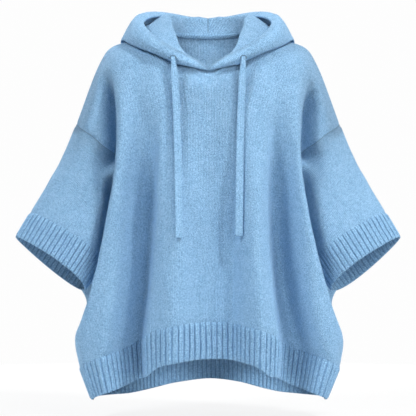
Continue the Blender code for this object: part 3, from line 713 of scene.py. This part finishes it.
def plain_piece(name, sheet, way, half, material, dips, closed=False, beyond=None, casing=False):
    """A piece of plain knit: its sewn edges sink a little, and a casing is thicker. A hood's sink
    on both faces, and the seam allowance of the others stands up inside."""
    sunk = seam_dip(sheet, **dips)
    flat = flat_cloth(sheet)
    if casing:
        from_edge = flat[1][-1] - flat[1]
        half = half + CASING_EXTRA / 2 * smooth(1 + CASING_FULL - from_edge / CASING_DEPTH)
    outer = sheet + way * (half - sunk)[..., None]
    inner = sheet - way * (half + sunk * (-1 if casing else ALLOWANCE))[..., None]
    return shell(name, outer, inner, material, flat, closed, beyond)


def ribbed_piece(name, sheet, way, half, raise_by, material, closed=False):
    """A band whose ribs stand up outside, and inside between the outer ones."""
    share = np.arange(sheet.shape[1]) / RIB_COLUMNS
    height = 1 - np.abs(2 * (share % 1) - 1) ** RIB_SHAPE
    down = flat_cloth(sheet)[1]
    ending = 1 - (1 - RIB_FINISH_SHARE) * smooth(1 - (down[-1] - down) / RIB_FINISH)
    strength = raise_by * smooth(down / RIB_START) * ending
    sunk = RIB_DIP * np.exp(-down / SEAM_DIP_REACH)
    out = half + strength * (height - RIB_GROOVE) - sunk
    within = half + RIB_INSIDE * strength * (RIB_MIDDLE - height) + ALLOWANCE * sunk
    outer, inner = sheet + way * out[..., None], sheet - way * within[..., None]
    flat = (np.broadcast_to(share * WALE, down.shape), down)
    return shell(name, outer, inner, material, flat, closed, end_way(sheet), WALE / 2)


def even_along(line, count):
    """Where count + 1 evenly spaced places lie along a line: index and share of each stretch."""
    along = running(line)
    places = []
    for want in np.linspace(0, along[-1], count + 1):
        k = min(int(np.searchsorted(along, want, side="right")) - 1, len(line) - 2)
        places.append((k, (want - along[k]) / (along[k + 1] - along[k])))
    return places


def read_at(values, places):
    """The values of a line of points at places from even_along."""
    return np.array([mixed(values[k], values[(k + 1) % len(values)], share) for k, share in places])


def hem_sheet(panel, way, half, drop):
    """The ribbed hem under a panel, from the panel's lowest row down."""
    places = even_along(panel[-1], HEM_RIBS * RIB_COLUMNS)
    top, out, thick = (read_at(values[-1], places) for values in (panel, way, half))
    side = np.abs(top[:, 0]) / np.abs(top[:, 0]).max()
    aside = (np.abs(top[:, 0]) - FRONT_HEM_DROP_AT) / FRONT_HEM_DROP_REACH
    fall = HEM_RIB_HEIGHT - HEM_CORNER_RISE * side ** 4 + drop * np.exp(-(aside ** 2))
    move = np.stack([-HEM_CORNER_TUCK * side ** 2 * top[:, 0], 0 * fall, -fall], axis=-1)
    sheet = top + np.linspace(0, 1, HEM_ROWS)[:, None, None] * move
    return sheet, np.array([out] * HEM_ROWS), np.array([thick] * HEM_ROWS)


def cuff_sheet(sleeve, way, half):
    """The ribbed cuff, from the sleeve's last plain ring to the open end."""
    places = even_along(np.vstack([sleeve[0], sleeve[0, :1]]), CUFF_RIBS * RIB_COLUMNS)[:-1]
    ends = [[read_at(values[k], places) for k in (0, -1)] for values in (sleeve, way, half)]
    shares = np.linspace(0, 1, CUFF_ROWS)
    sheet, out, thick = (np.array([mixed(a, b, share) for share in shares]) for a, b in ends)
    return sheet, unit(out), thick


def neck_ridge(sheet, way):
    """The front with the low ridge of its neck seam, which follows the neckline."""
    down = flat_cloth(sheet)[1]
    ridge = NECK_RIDGE * np.exp(-(((down - NECK_RIDGE_BELOW) / NECK_RIDGE_REACH) ** 2))
    ridge *= smooth(2.5 - 2 * np.abs(sheet[..., 0]) / NECK_RIDGE_HALF)
    return sheet + way * ridge[..., None]


def neck_tape(back, way, material):
    """The knitted tape inside the back of the neck: a rounded strip of slanting stitches."""
    start = sum(LINE_STEPS[:SHOULDER_LINES - 1]) + ACROSS_FINE
    part = np.s_[:TAPE_LEVELS * DOWN_FINE, start:back.shape[1] - start]
    across, down = flat_cloth(back[part])
    coarse = across.shape[1]
    fine = np.linspace(0, coarse - 1, coarse * 4)
    left = np.minimum(fine.astype(int), coarse - 2)
    share = (fine - left)[:, None]
    strip, fall, out = (
        mixed(values[:, left], values[:, left + 1], share)
        for values in (back[part], down[..., None], way[part])
    )

    def below_seam(values, below):
        """The values at that depth, at each fine column."""
        columns = zip(fall[..., 0].T, values.transpose(1, 2, 0))
        found = [[np.interp(below, depths, axis) for axis in axes] for depths, axes in columns]
        return np.array(found)

    run = np.interp(fine, np.arange(coarse), across[0])
    faces = []
    for below in np.linspace(0, TAPE_HEIGHT, TAPE_ROWS):
        inwards = -unit(below_seam(out, TAPE_BELOW_SEAM + below))
        face = below_seam(strip, TAPE_BELOW_SEAM + below) + (0, 0, TAPE_LIFT)
        face += inwards * (WALL / 2 + TAPE_CLEAR)
        crown = 1 - (2 * below / TAPE_HEIGHT - 1) ** 4
        slid = run + TAPE_SLANT * below
        stand = 0.75 + 0.25 * np.cos(2 * math.pi * slid / TAPE_TWIST)
        stand *= TAPE_THICKNESS * (0.3 + 0.7 * crown)
        down = np.full(run.shape, TAPE_BELOW_SEAM + below)
        faces.append((face + inwards * stand[:, None], face, slid + TAPE_TWIST / 2, down))
    outer, inner, across, down = (np.array(rows) for rows in zip(*faces))
    return shell("tape", outer, inner, material, (across, down))


# ---------------------------------------------------------------- drawcords


def front_most(trees, x, z):
    """How far forward the cloth reaches at this place of the front view."""
    hits = [tree.ray_cast(Vector((x * MM, -1, z * MM)), Vector((0, 1, 0)))[0] for tree in trees]
    return min(hit.y for hit in hits if hit is not None) / MM


def hung_line(route, trees):
    """A cord's own line: down its route, resting on the cloth that reaches furthest forward."""
    line = curve([(x, 0, z) for x, z in route], CORD_STEPS)
    edges = (-CORD_WIDTH / 2, 0, CORD_WIDTH / 2)
    depth = np.array([min(front_most(trees, x + dx, z) for dx in edges) for x, _, z in line])
    heights = line[:, 2]
    hung = depth.copy()
    for first in range(len(heights)):
        for last in range(first + 1, len(heights)):
            between = slice(first, last + 1)
            ends = (heights[last], heights[first]), (depth[last], depth[first])
            hung[between] = np.minimum(hung[between], np.interp(heights[between], *ends))
    line[:, 1] = hung - CORD_CLEAR - CORD_THICKNESS / 2
    return line


def turns(count):
    """The cosines and sines of evenly spaced angles right round."""
    angles = 2 * math.pi * np.arange(count) / count
    return np.cos(angles), np.sin(angles)


def cord_piece(name, line, material):
    """A flat knitted cord: full edges, a shallow middle and a square, closed lower end. Its upper
    end is tucked into the opening."""
    tuck = [line[0] + np.array((0, k / 2, (3 - k) * 0.2)) * CORD_TUCK for k in (2, 1)]
    finish = [line[-1] - (0, 0, past) for past in CORD_END]
    whole = np.vstack([tuck, line, finish])
    along = running(whole)
    grown = smooth((line[0, 2] - whole[:, 2]) / CORD_SPREAD)[:, None]
    width = mixed(CORD_EXIT_WIDTH, CORD_WIDTH, grown)
    thick = mixed(CORD_EXIT_THICKNESS, CORD_THICKNESS, grown)
    left = np.append(np.ones(len(whole) - len(CORD_END)), list(CORD_END.values()))[:, None]
    round_it = zip(turns(CORD_ROUND), CORD_SQUARE)
    aside, up = (np.copysign(np.abs(turn) ** square, turn) for turn, square in round_it)
    up = up * (1 - CORD_DENT * (1 - aside ** 2) ** 2)
    x, y = width / 2 * aside * (0.93 + 0.07 * left), -thick / 2 * up * left
    girth = 2 * CORD_WIDTH * np.arange(CORD_ROUND + 1) / CORD_ROUND
    uv = np.stack(np.broadcast_arrays(girth, along[:, None]), axis=-1)
    ends = [[(0, c) for c in range(CORD_ROUND)]]
    ends.append([(len(whole) - 1, c) for c in reversed(range(CORD_ROUND))])
    rows = whole[:, None] + np.stack([x, y, 0 * x], axis=-1)
    return grid_piece(name, rows, uv, material, ends), whole[:-len(CORD_END)]


def eyelet(name, line, material):
    """The bound rim of the opening that a cord comes out of: beads of yarn right round it."""
    wide, tall = CORD_EXIT_WIDTH / 2 + 1.2, CORD_THICKNESS / 2 + 1.5
    (cos, sin), (spin_out, spin_back) = turns(2 * EYELET_BEADS), turns(8)
    core = line[0] + (0, 0.6, 0.4) + np.stack([wide * cos, -0.4 * sin, tall * sin], axis=-1)
    bead = EYELET_YARN * (1 + 0.22 * (-1.0) ** np.arange(2 * EYELET_BEADS))
    out = np.stack([cos, 0 * cos, sin], axis=-1)[:, None] * spin_out[:, None]
    rings = core[:, None] + bead[:, None, None] * (out - spin_back[:, None] * (0, 1, 0))
    uv = np.stack(np.indices((len(cos) + 1, len(spin_out) + 1)), axis=-1)
    return grid_piece(name, rings, uv, material)


# ---------------------------------------------------------------- node trees


class Value:
    """A node's output, which can be used in ordinary expressions."""

    def __init__(self, graph, socket):
        self.graph, self.socket = graph, socket

    def of(self, name):
        """Another output of the same node."""
        return Value(self.graph, self.socket.node.outputs[name])

    def math(self, operation, *others):
        return self.graph.node("ShaderNodeMath", {"operation": operation}, self, *others)

    __add__ = __radd__ = partialmethod(math, "ADD")
    __mul__ = __rmul__ = partialmethod(math, "MULTIPLY")
    __sub__ = partialmethod(math, "SUBTRACT")
    __truediv__ = partialmethod(math, "DIVIDE")
    __pow__ = partialmethod(math, "POWER")
    __abs__ = partialmethod(math, "ABSOLUTE")
    past_whole = partialmethod(math, "FRACT")  # what is left past its last whole number

    def __rsub__(self, other):
        return self.graph.node("ShaderNodeMath", {"operation": "SUBTRACT"}, other, self)

    def clamped(self):
        return self.graph.node("ShaderNodeClamp", {}, self)


class Graph:
    """A tree of nodes, built from values."""

    def __init__(self, tree):
        self.tree = tree

    def node(self, kind, settings, *values, output=0, **named):
        """One node. Its settings are set first, then its sockets' values or links."""
        made = self.tree.nodes.new(kind)
        for key, value in settings.items():
            setattr(made, key, value)
        for key, value in [*enumerate(values), *named.items()]:
            key = key.replace("_", " ") if isinstance(key, str) else key
            if value is not None:
                self.feed(value, made.inputs[key])
        return Value(self, made.outputs[output]) if made.outputs else None

    def feed(self, value, socket):
        if isinstance(value, Value):
            self.tree.links.new(value.socket, socket)
        else:
            socket.default_value = value

    def mix(self, share, a, b):
        """A colour between two colours. A colour mix has its colours in these sockets."""
        settings = {"data_type": "RGBA"}
        return self.node("ShaderNodeMix", settings, share, *[None] * 5, a, b, output=2)


def growing(name, sizes):
    """A Geometry Nodes tree under construction, and what it is given."""
    group = bpy.data.node_groups.new(name, "GeometryNodeTree")
    sockets = [("Geometry", "OUTPUT", "Geometry"), ("Geometry", "INPUT", "Geometry")]
    sockets += [(label, "INPUT", kind) for label, kind in sizes.items()]
    for label, way, kind in sockets:
        group.interface.new_socket(label, in_out=way, socket_type="NodeSocket" + kind)
    graph = Graph(group)
    return graph, graph.node("NodeGroupInput", {})


def planted(graph, points, bit, size, turned, material, smoothed=False):
    """Ends a tree with a real copy of one bit on each of its points."""
    found = graph.node(
        "GeometryNodeInstanceOnPoints", {}, Points=points, Instance=bit, Scale=size, Rotation=turned
    )
    found = graph.node("GeometryNodeRealizeInstances", {}, found)
    if smoothed:
        found = graph.node("GeometryNodeSetShadeSmooth", {}, found)
    found = graph.node("GeometryNodeSetMaterial", {}, found, Material=material)
    graph.node("NodeGroupOutput", {}, found)
    return graph.tree


def bit_size(graph, given):
    thickness = given.of("Thickness")
    return graph.node("ShaderNodeCombineXYZ", {}, thickness, thickness, given.of("Length"))


def stitch_tree():
    """Short rounded stitches at even steps along a line of points."""
    sizes = {"Spacing": "Float", "Length": "Float", "Thickness": "Float", "Yarn": "Material"}
    graph, given = growing("Stitches", sizes)
    line = graph.node("GeometryNodeMeshToCurve", {}, given)
    points = graph.node(
        "GeometryNodeCurveToPoints", {"mode": "LENGTH"}, line, Length=given.of("Spacing")
    )
    bead = graph.node("GeometryNodeMeshUVSphere", {}, Segments=6, Rings=5, Radius=0.5)
    size, turned = bit_size(graph, given), points.of("Rotation")
    return planted(graph, points, bead, size, turned, given.of("Yarn"), smoothed=True)


def nap_tree():
    """Loose fibre ends that stand on a piece's faces, leaning every way."""
    sizes = dict.fromkeys(("Density", "Length", "Thickness"), "Float")
    sizes.update({"Seed": "Int", "Fibre": "Material"})
    graph, given = growing("Nap", sizes)
    seed = given.of("Seed")
    points = graph.node(
        "GeometryNodeDistributePointsOnFaces", {}, given, Density=given.of("Density"), Seed=seed
    )
    settings = {"data_type": "FLOAT_VECTOR"}
    least, most = (-NAP_LEAN, -NAP_LEAN, 0.0), (NAP_LEAN, NAP_LEAN, 2 * math.pi)
    lean = graph.node("FunctionNodeRandomValue", settings, least, most, Seed=seed)
    turned = graph.node(
        "FunctionNodeRotateRotation", {"rotation_space": "LOCAL"},
        Rotation=points.of("Rotation"), Rotate_By=lean,
    )
    fibre = graph.node(
        "GeometryNodeMeshCone", {"fill_type": "TRIANGLE_FAN"},
        Vertices=3, Side_Segments=1, Fill_Segments=1, Radius_Top=0.0, Radius_Bottom=0.5, Depth=1.0,
    )
    settings, sizes = {"data_type": "FLOAT"}, (None, None, *NAP_VARY)
    vary = graph.node("FunctionNodeRandomValue", settings, *sizes, Seed=seed, output=1)
    size = graph.node(
        "ShaderNodeVectorMath", {"operation": "SCALE"}, bit_size(graph, given), Scale=vary
    )
    return planted(graph, points, fibre, size, turned, given.of("Fibre"))


def grown(tree, piece, name, values):
    """A tree's result on a piece, as a plain mesh of its own that moves with the garment."""
    modifier = piece.modifiers.new(name, "NODES")
    modifier.node_group = tree
    for item in tree.interface.items_tree:
        if item.item_type == "SOCKET" and item.in_out == "INPUT" and item.name in values:
            modifier[item.identifier] = values[item.name]
    found = piece.evaluated_get(bpy.context.evaluated_depsgraph_get())
    mesh = bpy.data.meshes.new_from_object(found)
    mesh.name = name
    piece.modifiers.remove(modifier)
    return worn(linked(name, mesh))


def seam_stitches(tree, name, points, ways, height, yarn):
    """A seam's row of linking stitches, that far along the given ways from its points."""
    line = bpy.data.meshes.new("line")
    places = ((points + ways * height) * MM).tolist()
    line.from_pydata(places, [(k, k + 1) for k in range(len(places) - 1)], [])
    piece = linked("line", line)
    grown(tree, piece, name, {**SEAM_STITCH, "Yarn": yarn})
    bpy.data.objects.remove(piece)


# ---------------------------------------------------------------- finishes


def matt(name, roughness, sheen, specular=0.18):
    """A matt material: everything that is the same all over it is set here."""
    material = bpy.data.materials.new(name)
    material.use_nodes = True
    graph = Graph(material.node_tree)
    shader = graph.tree.nodes["Principled BSDF"]
    values = {
        "Roughness": roughness, "Metallic": 0.0, "Specular IOR Level": specular,
        "Sheen Weight": sheen, "Sheen Roughness": 0.55, "Sheen Tint": (*SHEEN, 1.0),
    }
    for key, value in values.items():
        graph.feed(value, shader.inputs[key])
    return material, shader, graph


def knit_material(name, wale, course, stitch_show, relief, grooves=0.0):
    """Knitted yarn: rows of small V stitches, veiled by the brushed nap, in flecked blue. grooves
    says how much painted shade darkens it between the ribs."""
    material, shader, graph = matt(name, 0.92, 0.12)
    space = graph.node("ShaderNodeTexCoord", {}, output=3)
    place = graph.node("ShaderNodeUVMap", {"uv_map": "knit"})
    across = graph.node("ShaderNodeSeparateXYZ", {}, place)
    down = across.of("Y")

    def noise(size, detail, offset=0.0):
        moved = graph.node("ShaderNodeVectorMath", {"operation": "ADD"}, space, [offset] * 3)
        return graph.node(
            "ShaderNodeTexNoise", {"noise_dimensions": "3D"},
            Vector=moved, Scale=1 / size, Detail=detail, Roughness=0.6,
        )

    wander = noise(0.03, 1.0) - 0.5
    column = across / (wale * MM) + wander * 0.35
    side = abs(column.past_whole() - 0.5)
    row = down / (course * MM) + side * 1.5 + wander * 0.25
    leg = 1 - (abs(side - 0.25) * 4) ** 2.2
    bead = 1 - abs(row.past_whole() * 2 - 1) ** 2.6
    stitch = (leg * (0.55 + 0.45 * bead)).clamped()
    fuzz = noise(FLECK_SIZE, 3.0)
    flecks = noise(FLECK_SIZE * 1.3, 2.0, 3.1)
    clouds = noise(CLOUD_SIZE, 2.0, 7.7)
    veil = (noise(0.009, 1.0, 5.3) * 1.6 - 0.3).clamped()
    shown = stitch * (0.45 + 0.55 * veil)
    clearer = 0.6 + (1 - down / CLEAR_KNIT).clamped() * 1.1
    tone = 0.5 + (shown - 0.45) * clearer * stitch_show + (clouds - 0.5) * 0.25
    # Painted shade: towards each column's edges, in the grooves between ribs, the tone is darkened
    # by grooves.
    tone = tone + (flecks - 0.5) * 2.2 + (fuzz - 0.5) * 2.4 - ((side * 2) ** 2.5) * grooves
    tone = tone.clamped()
    lower = graph.mix((tone * 2).clamped(), (*YARN_DARK, 1), (*YARN, 1))
    colour = graph.mix((tone * 2 - 1).clamped(), lower, (*YARN_LIGHT, 1))
    graph.feed(colour, shader.inputs["Base Color"])
    height = shown * clearer + fuzz * 0.9 + flecks * 0.6
    bump = graph.node("ShaderNodeBump", {}, Strength=1.0, Distance=relief * MM, Height=height)
    graph.feed(bump, shader.inputs["Normal"])
    return material


def yarn_material(name, colour):
    """Loose yarn and stitches, too small for a pattern of their own but flecked like the cloth."""
    material, shader, graph = matt(name, 0.95, 0.3)
    space = graph.node("ShaderNodeTexCoord", {}, output=3)
    flecks = graph.node("ShaderNodeTexNoise", {}, Vector=space, Scale=1 / FLECK_SIZE, Detail=1.0)
    dark, light = ([min(1.0, share * c) for c in colour] for share in (0.8, 1.2))
    graph.feed(graph.mix(flecks, (*dark, 1), (*light, 1)), shader.inputs["Base Color"])
    return material


# ---------------------------------------------------------------- studio


def light_up(name, light):
    """A disc of light, or a narrow one where it has a cone, aimed at its target."""
    data = bpy.data.lights.new(name, "SPOT" if light.cone else "AREA")
    data.energy, data.color = light.power, light.colour
    if light.cone:
        data.spot_size, data.spot_blend = math.radians(light.cone), 0.9
        data.shadow_soft_size = light.size
    else:
        data.shape, data.size = "DISK", light.size
    turn, lift = math.radians(light.azimuth), math.radians(light.elevation)
    level = math.cos(lift)
    way = Vector((math.sin(turn) * level, -math.cos(turn) * level, math.sin(lift)))
    lamp = linked(name, data)
    lamp.location = Vector(light.target) + light.distance * way
    lamp.rotation_euler = (-way).to_track_quat("-Z", "Y").to_euler()


def seen_pale(graph, output, kind, lit, share=1.0):
    """By that share the camera sees a plain pale glow, and everything else sees what is lit."""
    glow = graph.node(kind, {}, (1.0, 1.0, 1.0, 1.0), BACKGROUND)
    camera_ray = graph.node("ShaderNodeLightPath", {}) * share
    chosen = graph.node("ShaderNodeMixShader", {}, camera_ray, Value(graph, lit.outputs[0]), glow)
    graph.feed(chosen, graph.tree.nodes[output].inputs["Surface"])


def studio():
    scene = bpy.context.scene
    data = bpy.data.cameras.new("camera")
    data.lens, data.sensor_width, data.clip_end = CAMERA_LENS, 36.0, 60.0
    scene.camera = linked("camera", data)
    scene.camera.location = CAMERA_PLACE
    scene.camera.rotation_euler = (math.radians(90), 0, 0)
    scene.view_settings.view_transform = "Standard"

    scene.world = bpy.data.worlds.new("pale studio")
    scene.world.use_nodes = True
    graph = Graph(scene.world.node_tree)
    soft = graph.tree.nodes["Background"]
    graph.feed((0.93, 0.965, 1.0, 1.0), soft.inputs["Color"])
    graph.feed(WORLD_LIGHT, soft.inputs["Strength"])
    seen_pale(graph, "World Output", "ShaderNodeBackground", soft)

    for name, light in LIGHTS.items():
        light_up(name, light)

    bpy.ops.mesh.primitive_circle_add(
        vertices=96, radius=FLOOR_REACH, fill_type="NGON", location=(0, 0, FLOOR_HEIGHT)
    )
    floor = bpy.context.object
    floor.name = "floor"
    material, shader, graph = matt("pale floor", 1.0, 0.0, specular=0.0)
    graph.feed((0.8, 0.8, 0.8, 1.0), shader.inputs["Base Color"])
    seen_pale(graph, "Material Output", "ShaderNodeEmission", shader, FLOOR_GLOW)
    floor.data.materials.append(material)


# ---------------------------------------------------------------- the garment


def worn(piece, node=None):
    """The piece moves with the garment, and stands for its node where it has one."""
    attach(piece, "root")
    if node:
        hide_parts(node)
    return piece


def declare(piece, sheet, closed=False):
    """Works out the area of the cut that the piece is made from, in square metres, and keeps
    nothing.
    """
    ring = ring_closed(sheet) if closed else sheet
    area = float(np.linalg.norm(quad_crosses(ring), axis=-1).sum()) / 2 * MM * MM


def main():
    studio()
    knit = knit_material("brushed_knit", WALE, COURSE, 0.55, 1.1)
    # The ribs carry painted shade in the grooves between them.
    rib = knit_material("ribbed_knit", WALE, COURSE * 0.9, 0.3, 0.8, grooves=0.55)
    cord_knit = knit_material("cord_knit", CORD_WALE, CORD_COURSE, 0.3, 0.5)
    # The seam stitches are real, but their yarn is half as bright as the cloth: painted shade that
    # draws each seam as a dark line.
    seam_shade_yarn = yarn_material("linking_yarn_painted_shade", [0.5 * c for c in YARN])
    # The eyelet's yarn is darkened to under half the cloth's colour: painted shade over each cord's
    # opening.
    eyelet_shade_yarn = yarn_material("eyelet_painted_shade_yarn", [0.45 * c for c in YARN])
    # The tape carries painted shade between its slanting stitches.
    tape_yarn = knit_material("tape_knit", TAPE_TWIST, COURSE, 0.1, 0.6, grooves=0.5)
    nap_fibre = yarn_material("nap_fibre", YARN_LIGHT)

    front = panel_sheet(FRONT, (*FRONT_FOLDS.values(), *FRONT_DEEPER.values()), -1.0)
    back = panel_sheet(BACK, BACK_FOLDS.values(), 1.0)
    sheets = {"front": front, "back": back}
    for side, word in SIDES:
        sheets[word + "_sleeve"] = sleeve_sheet(front, back, side)
        sheets[word + "_hood"] = hood_sheet(front, back, side)
    tubes, inside_out = {"right_sleeve", "left_sleeve"}, {"front", "right_sleeve", "right_hood"}
    ways, halves = half_walls(sheets, tubes, inside_out)

    made = {}
    for name, drop in (("front", FRONT_HEM_DROP), ("back", 0.0)):
        sheet, way, half = sheets[name], ways[name], halves[name]
        hem, hem_way, hem_half = hem_sheet(sheet, way, half, drop)
        if name == "front":
            sheet = neck_ridge(sheet, way)
        sheet = drawn_back(creased(sheet, way, name), "top", "bottom", "sides")
        sides = np.where(np.arange(len(sheet))[:, None] < ARMHOLE_ROWS, SEAM_DIP, RIB_DIP)
        dips = {"top": NECK_DIP, "bottom": RIB_DIP, "sides": sides}
        made[name] = plain_piece(name, sheet, way, half, knit, dips)
        declare(worn(made[name], name + "_panel"), sheet)
        hem = drawn_back(hem, "top", "sides")
        name += "_hem"
        made[name] = ribbed_piece(name, hem, hem_way, hem_half, HEM_RAISE, rib)
        declare(worn(made[name], name + "_rib"), hem)
    for side, word in SIDES:
        name = word + "_sleeve"
        way, half = ways[name], halves[name]
        sheet = tucked(sheets[name], way, front, side)
        last = -SLEEVE_STEPS[-1]
        cuff, cuff_way, cuff_half = cuff_sheet(*(given[last - 1:] for given in (sheet, way, half)))
        body = creased(sheet[:last], way[:last], name, held_sides=False)
        body = drawn_back(body, "top", "bottom")
        dips = {"top": SEAM_DIP, "bottom": RIB_DIP}
        made[name] = plain_piece(name, body, way[:last], half[:last], knit, dips, closed=True)
        declare(worn(made[name], "sleeve_" + word), body, closed=True)
        cuff = drawn_back(cuff, "top")
        name = word + "_cuff"
        made[name] = ribbed_piece(name, cuff, cuff_way, cuff_half, CUFF_RAISE, rib, closed=True)
        declare(worn(made[name], "cuff_" + word), cuff, closed=True)

        name = word + "_hood"
        way, dips = ways[name], {"top": HOOD_DIP, "sides": HOOD_DIP}
        hood = drawn_back(creased(sheets[name], way, name), "top", "sides")
        made[name] = plain_piece(
            name, hood, way, halves[name], knit, dips, beyond=end_way(hood), casing=True
        )
        worn(made[name], "hood_" + word)
        declare(made[name], hood)

    worn(neck_tape(back, ways["back"], tape_yarn), "neck_tape")

    resting = [made[name].data for name in ("front", "right_hood", "left_hood")]
    trees = [BVHTree.FromPolygons(*triangles(mesh)) for mesh in resting]
    for _, word in SIDES:
        line = hung_line(CORDS["drawcord_" + word], trees)
        piece, path = cord_piece(word + "_cord", line, cord_knit)
        worn(piece, "drawcord_" + word)
        # The eyelet is drawn in yarn darkened as painted shade.
        worn(eyelet(word + "_eyelet", line, eyelet_shade_yarn))

    tree = stitch_tree()
    for side, word in SIDES:
        seam = np.s_[:ARMHOLE_ROWS + 1, 0 if side == RIGHT else -1]
        for panel in ("front", "back"):
            points, way = sheets[panel][seam], ways[panel][seam]
            name = panel + "_" + word + "_armhole_stitches"
            seam_stitches(tree, name, points, way, WALL / 2 - SEAM_DIP + 0.5, seam_shade_yarn)
    seam = np.s_[2:-1, -1]
    way = unit(ways["right_hood"][seam] * (0, 1, 1))
    inside = (HOOD_DIP - WALL / 2 - CASING_EXTRA / 2) * 0.5
    for word, height in (("inside", inside), ("outside", -inside)):
        name = "hood_" + word + "_stitches"
        seam_stitches(tree, name, sheets["right_hood"][seam], way, height, seam_shade_yarn)

    tree = nap_tree()
    for seed, (name, piece) in enumerate(made.items()):
        grown(tree, piece, name + "_nap", {**NAP, "Seed": seed, "Fibre": nap_fibre})


main()
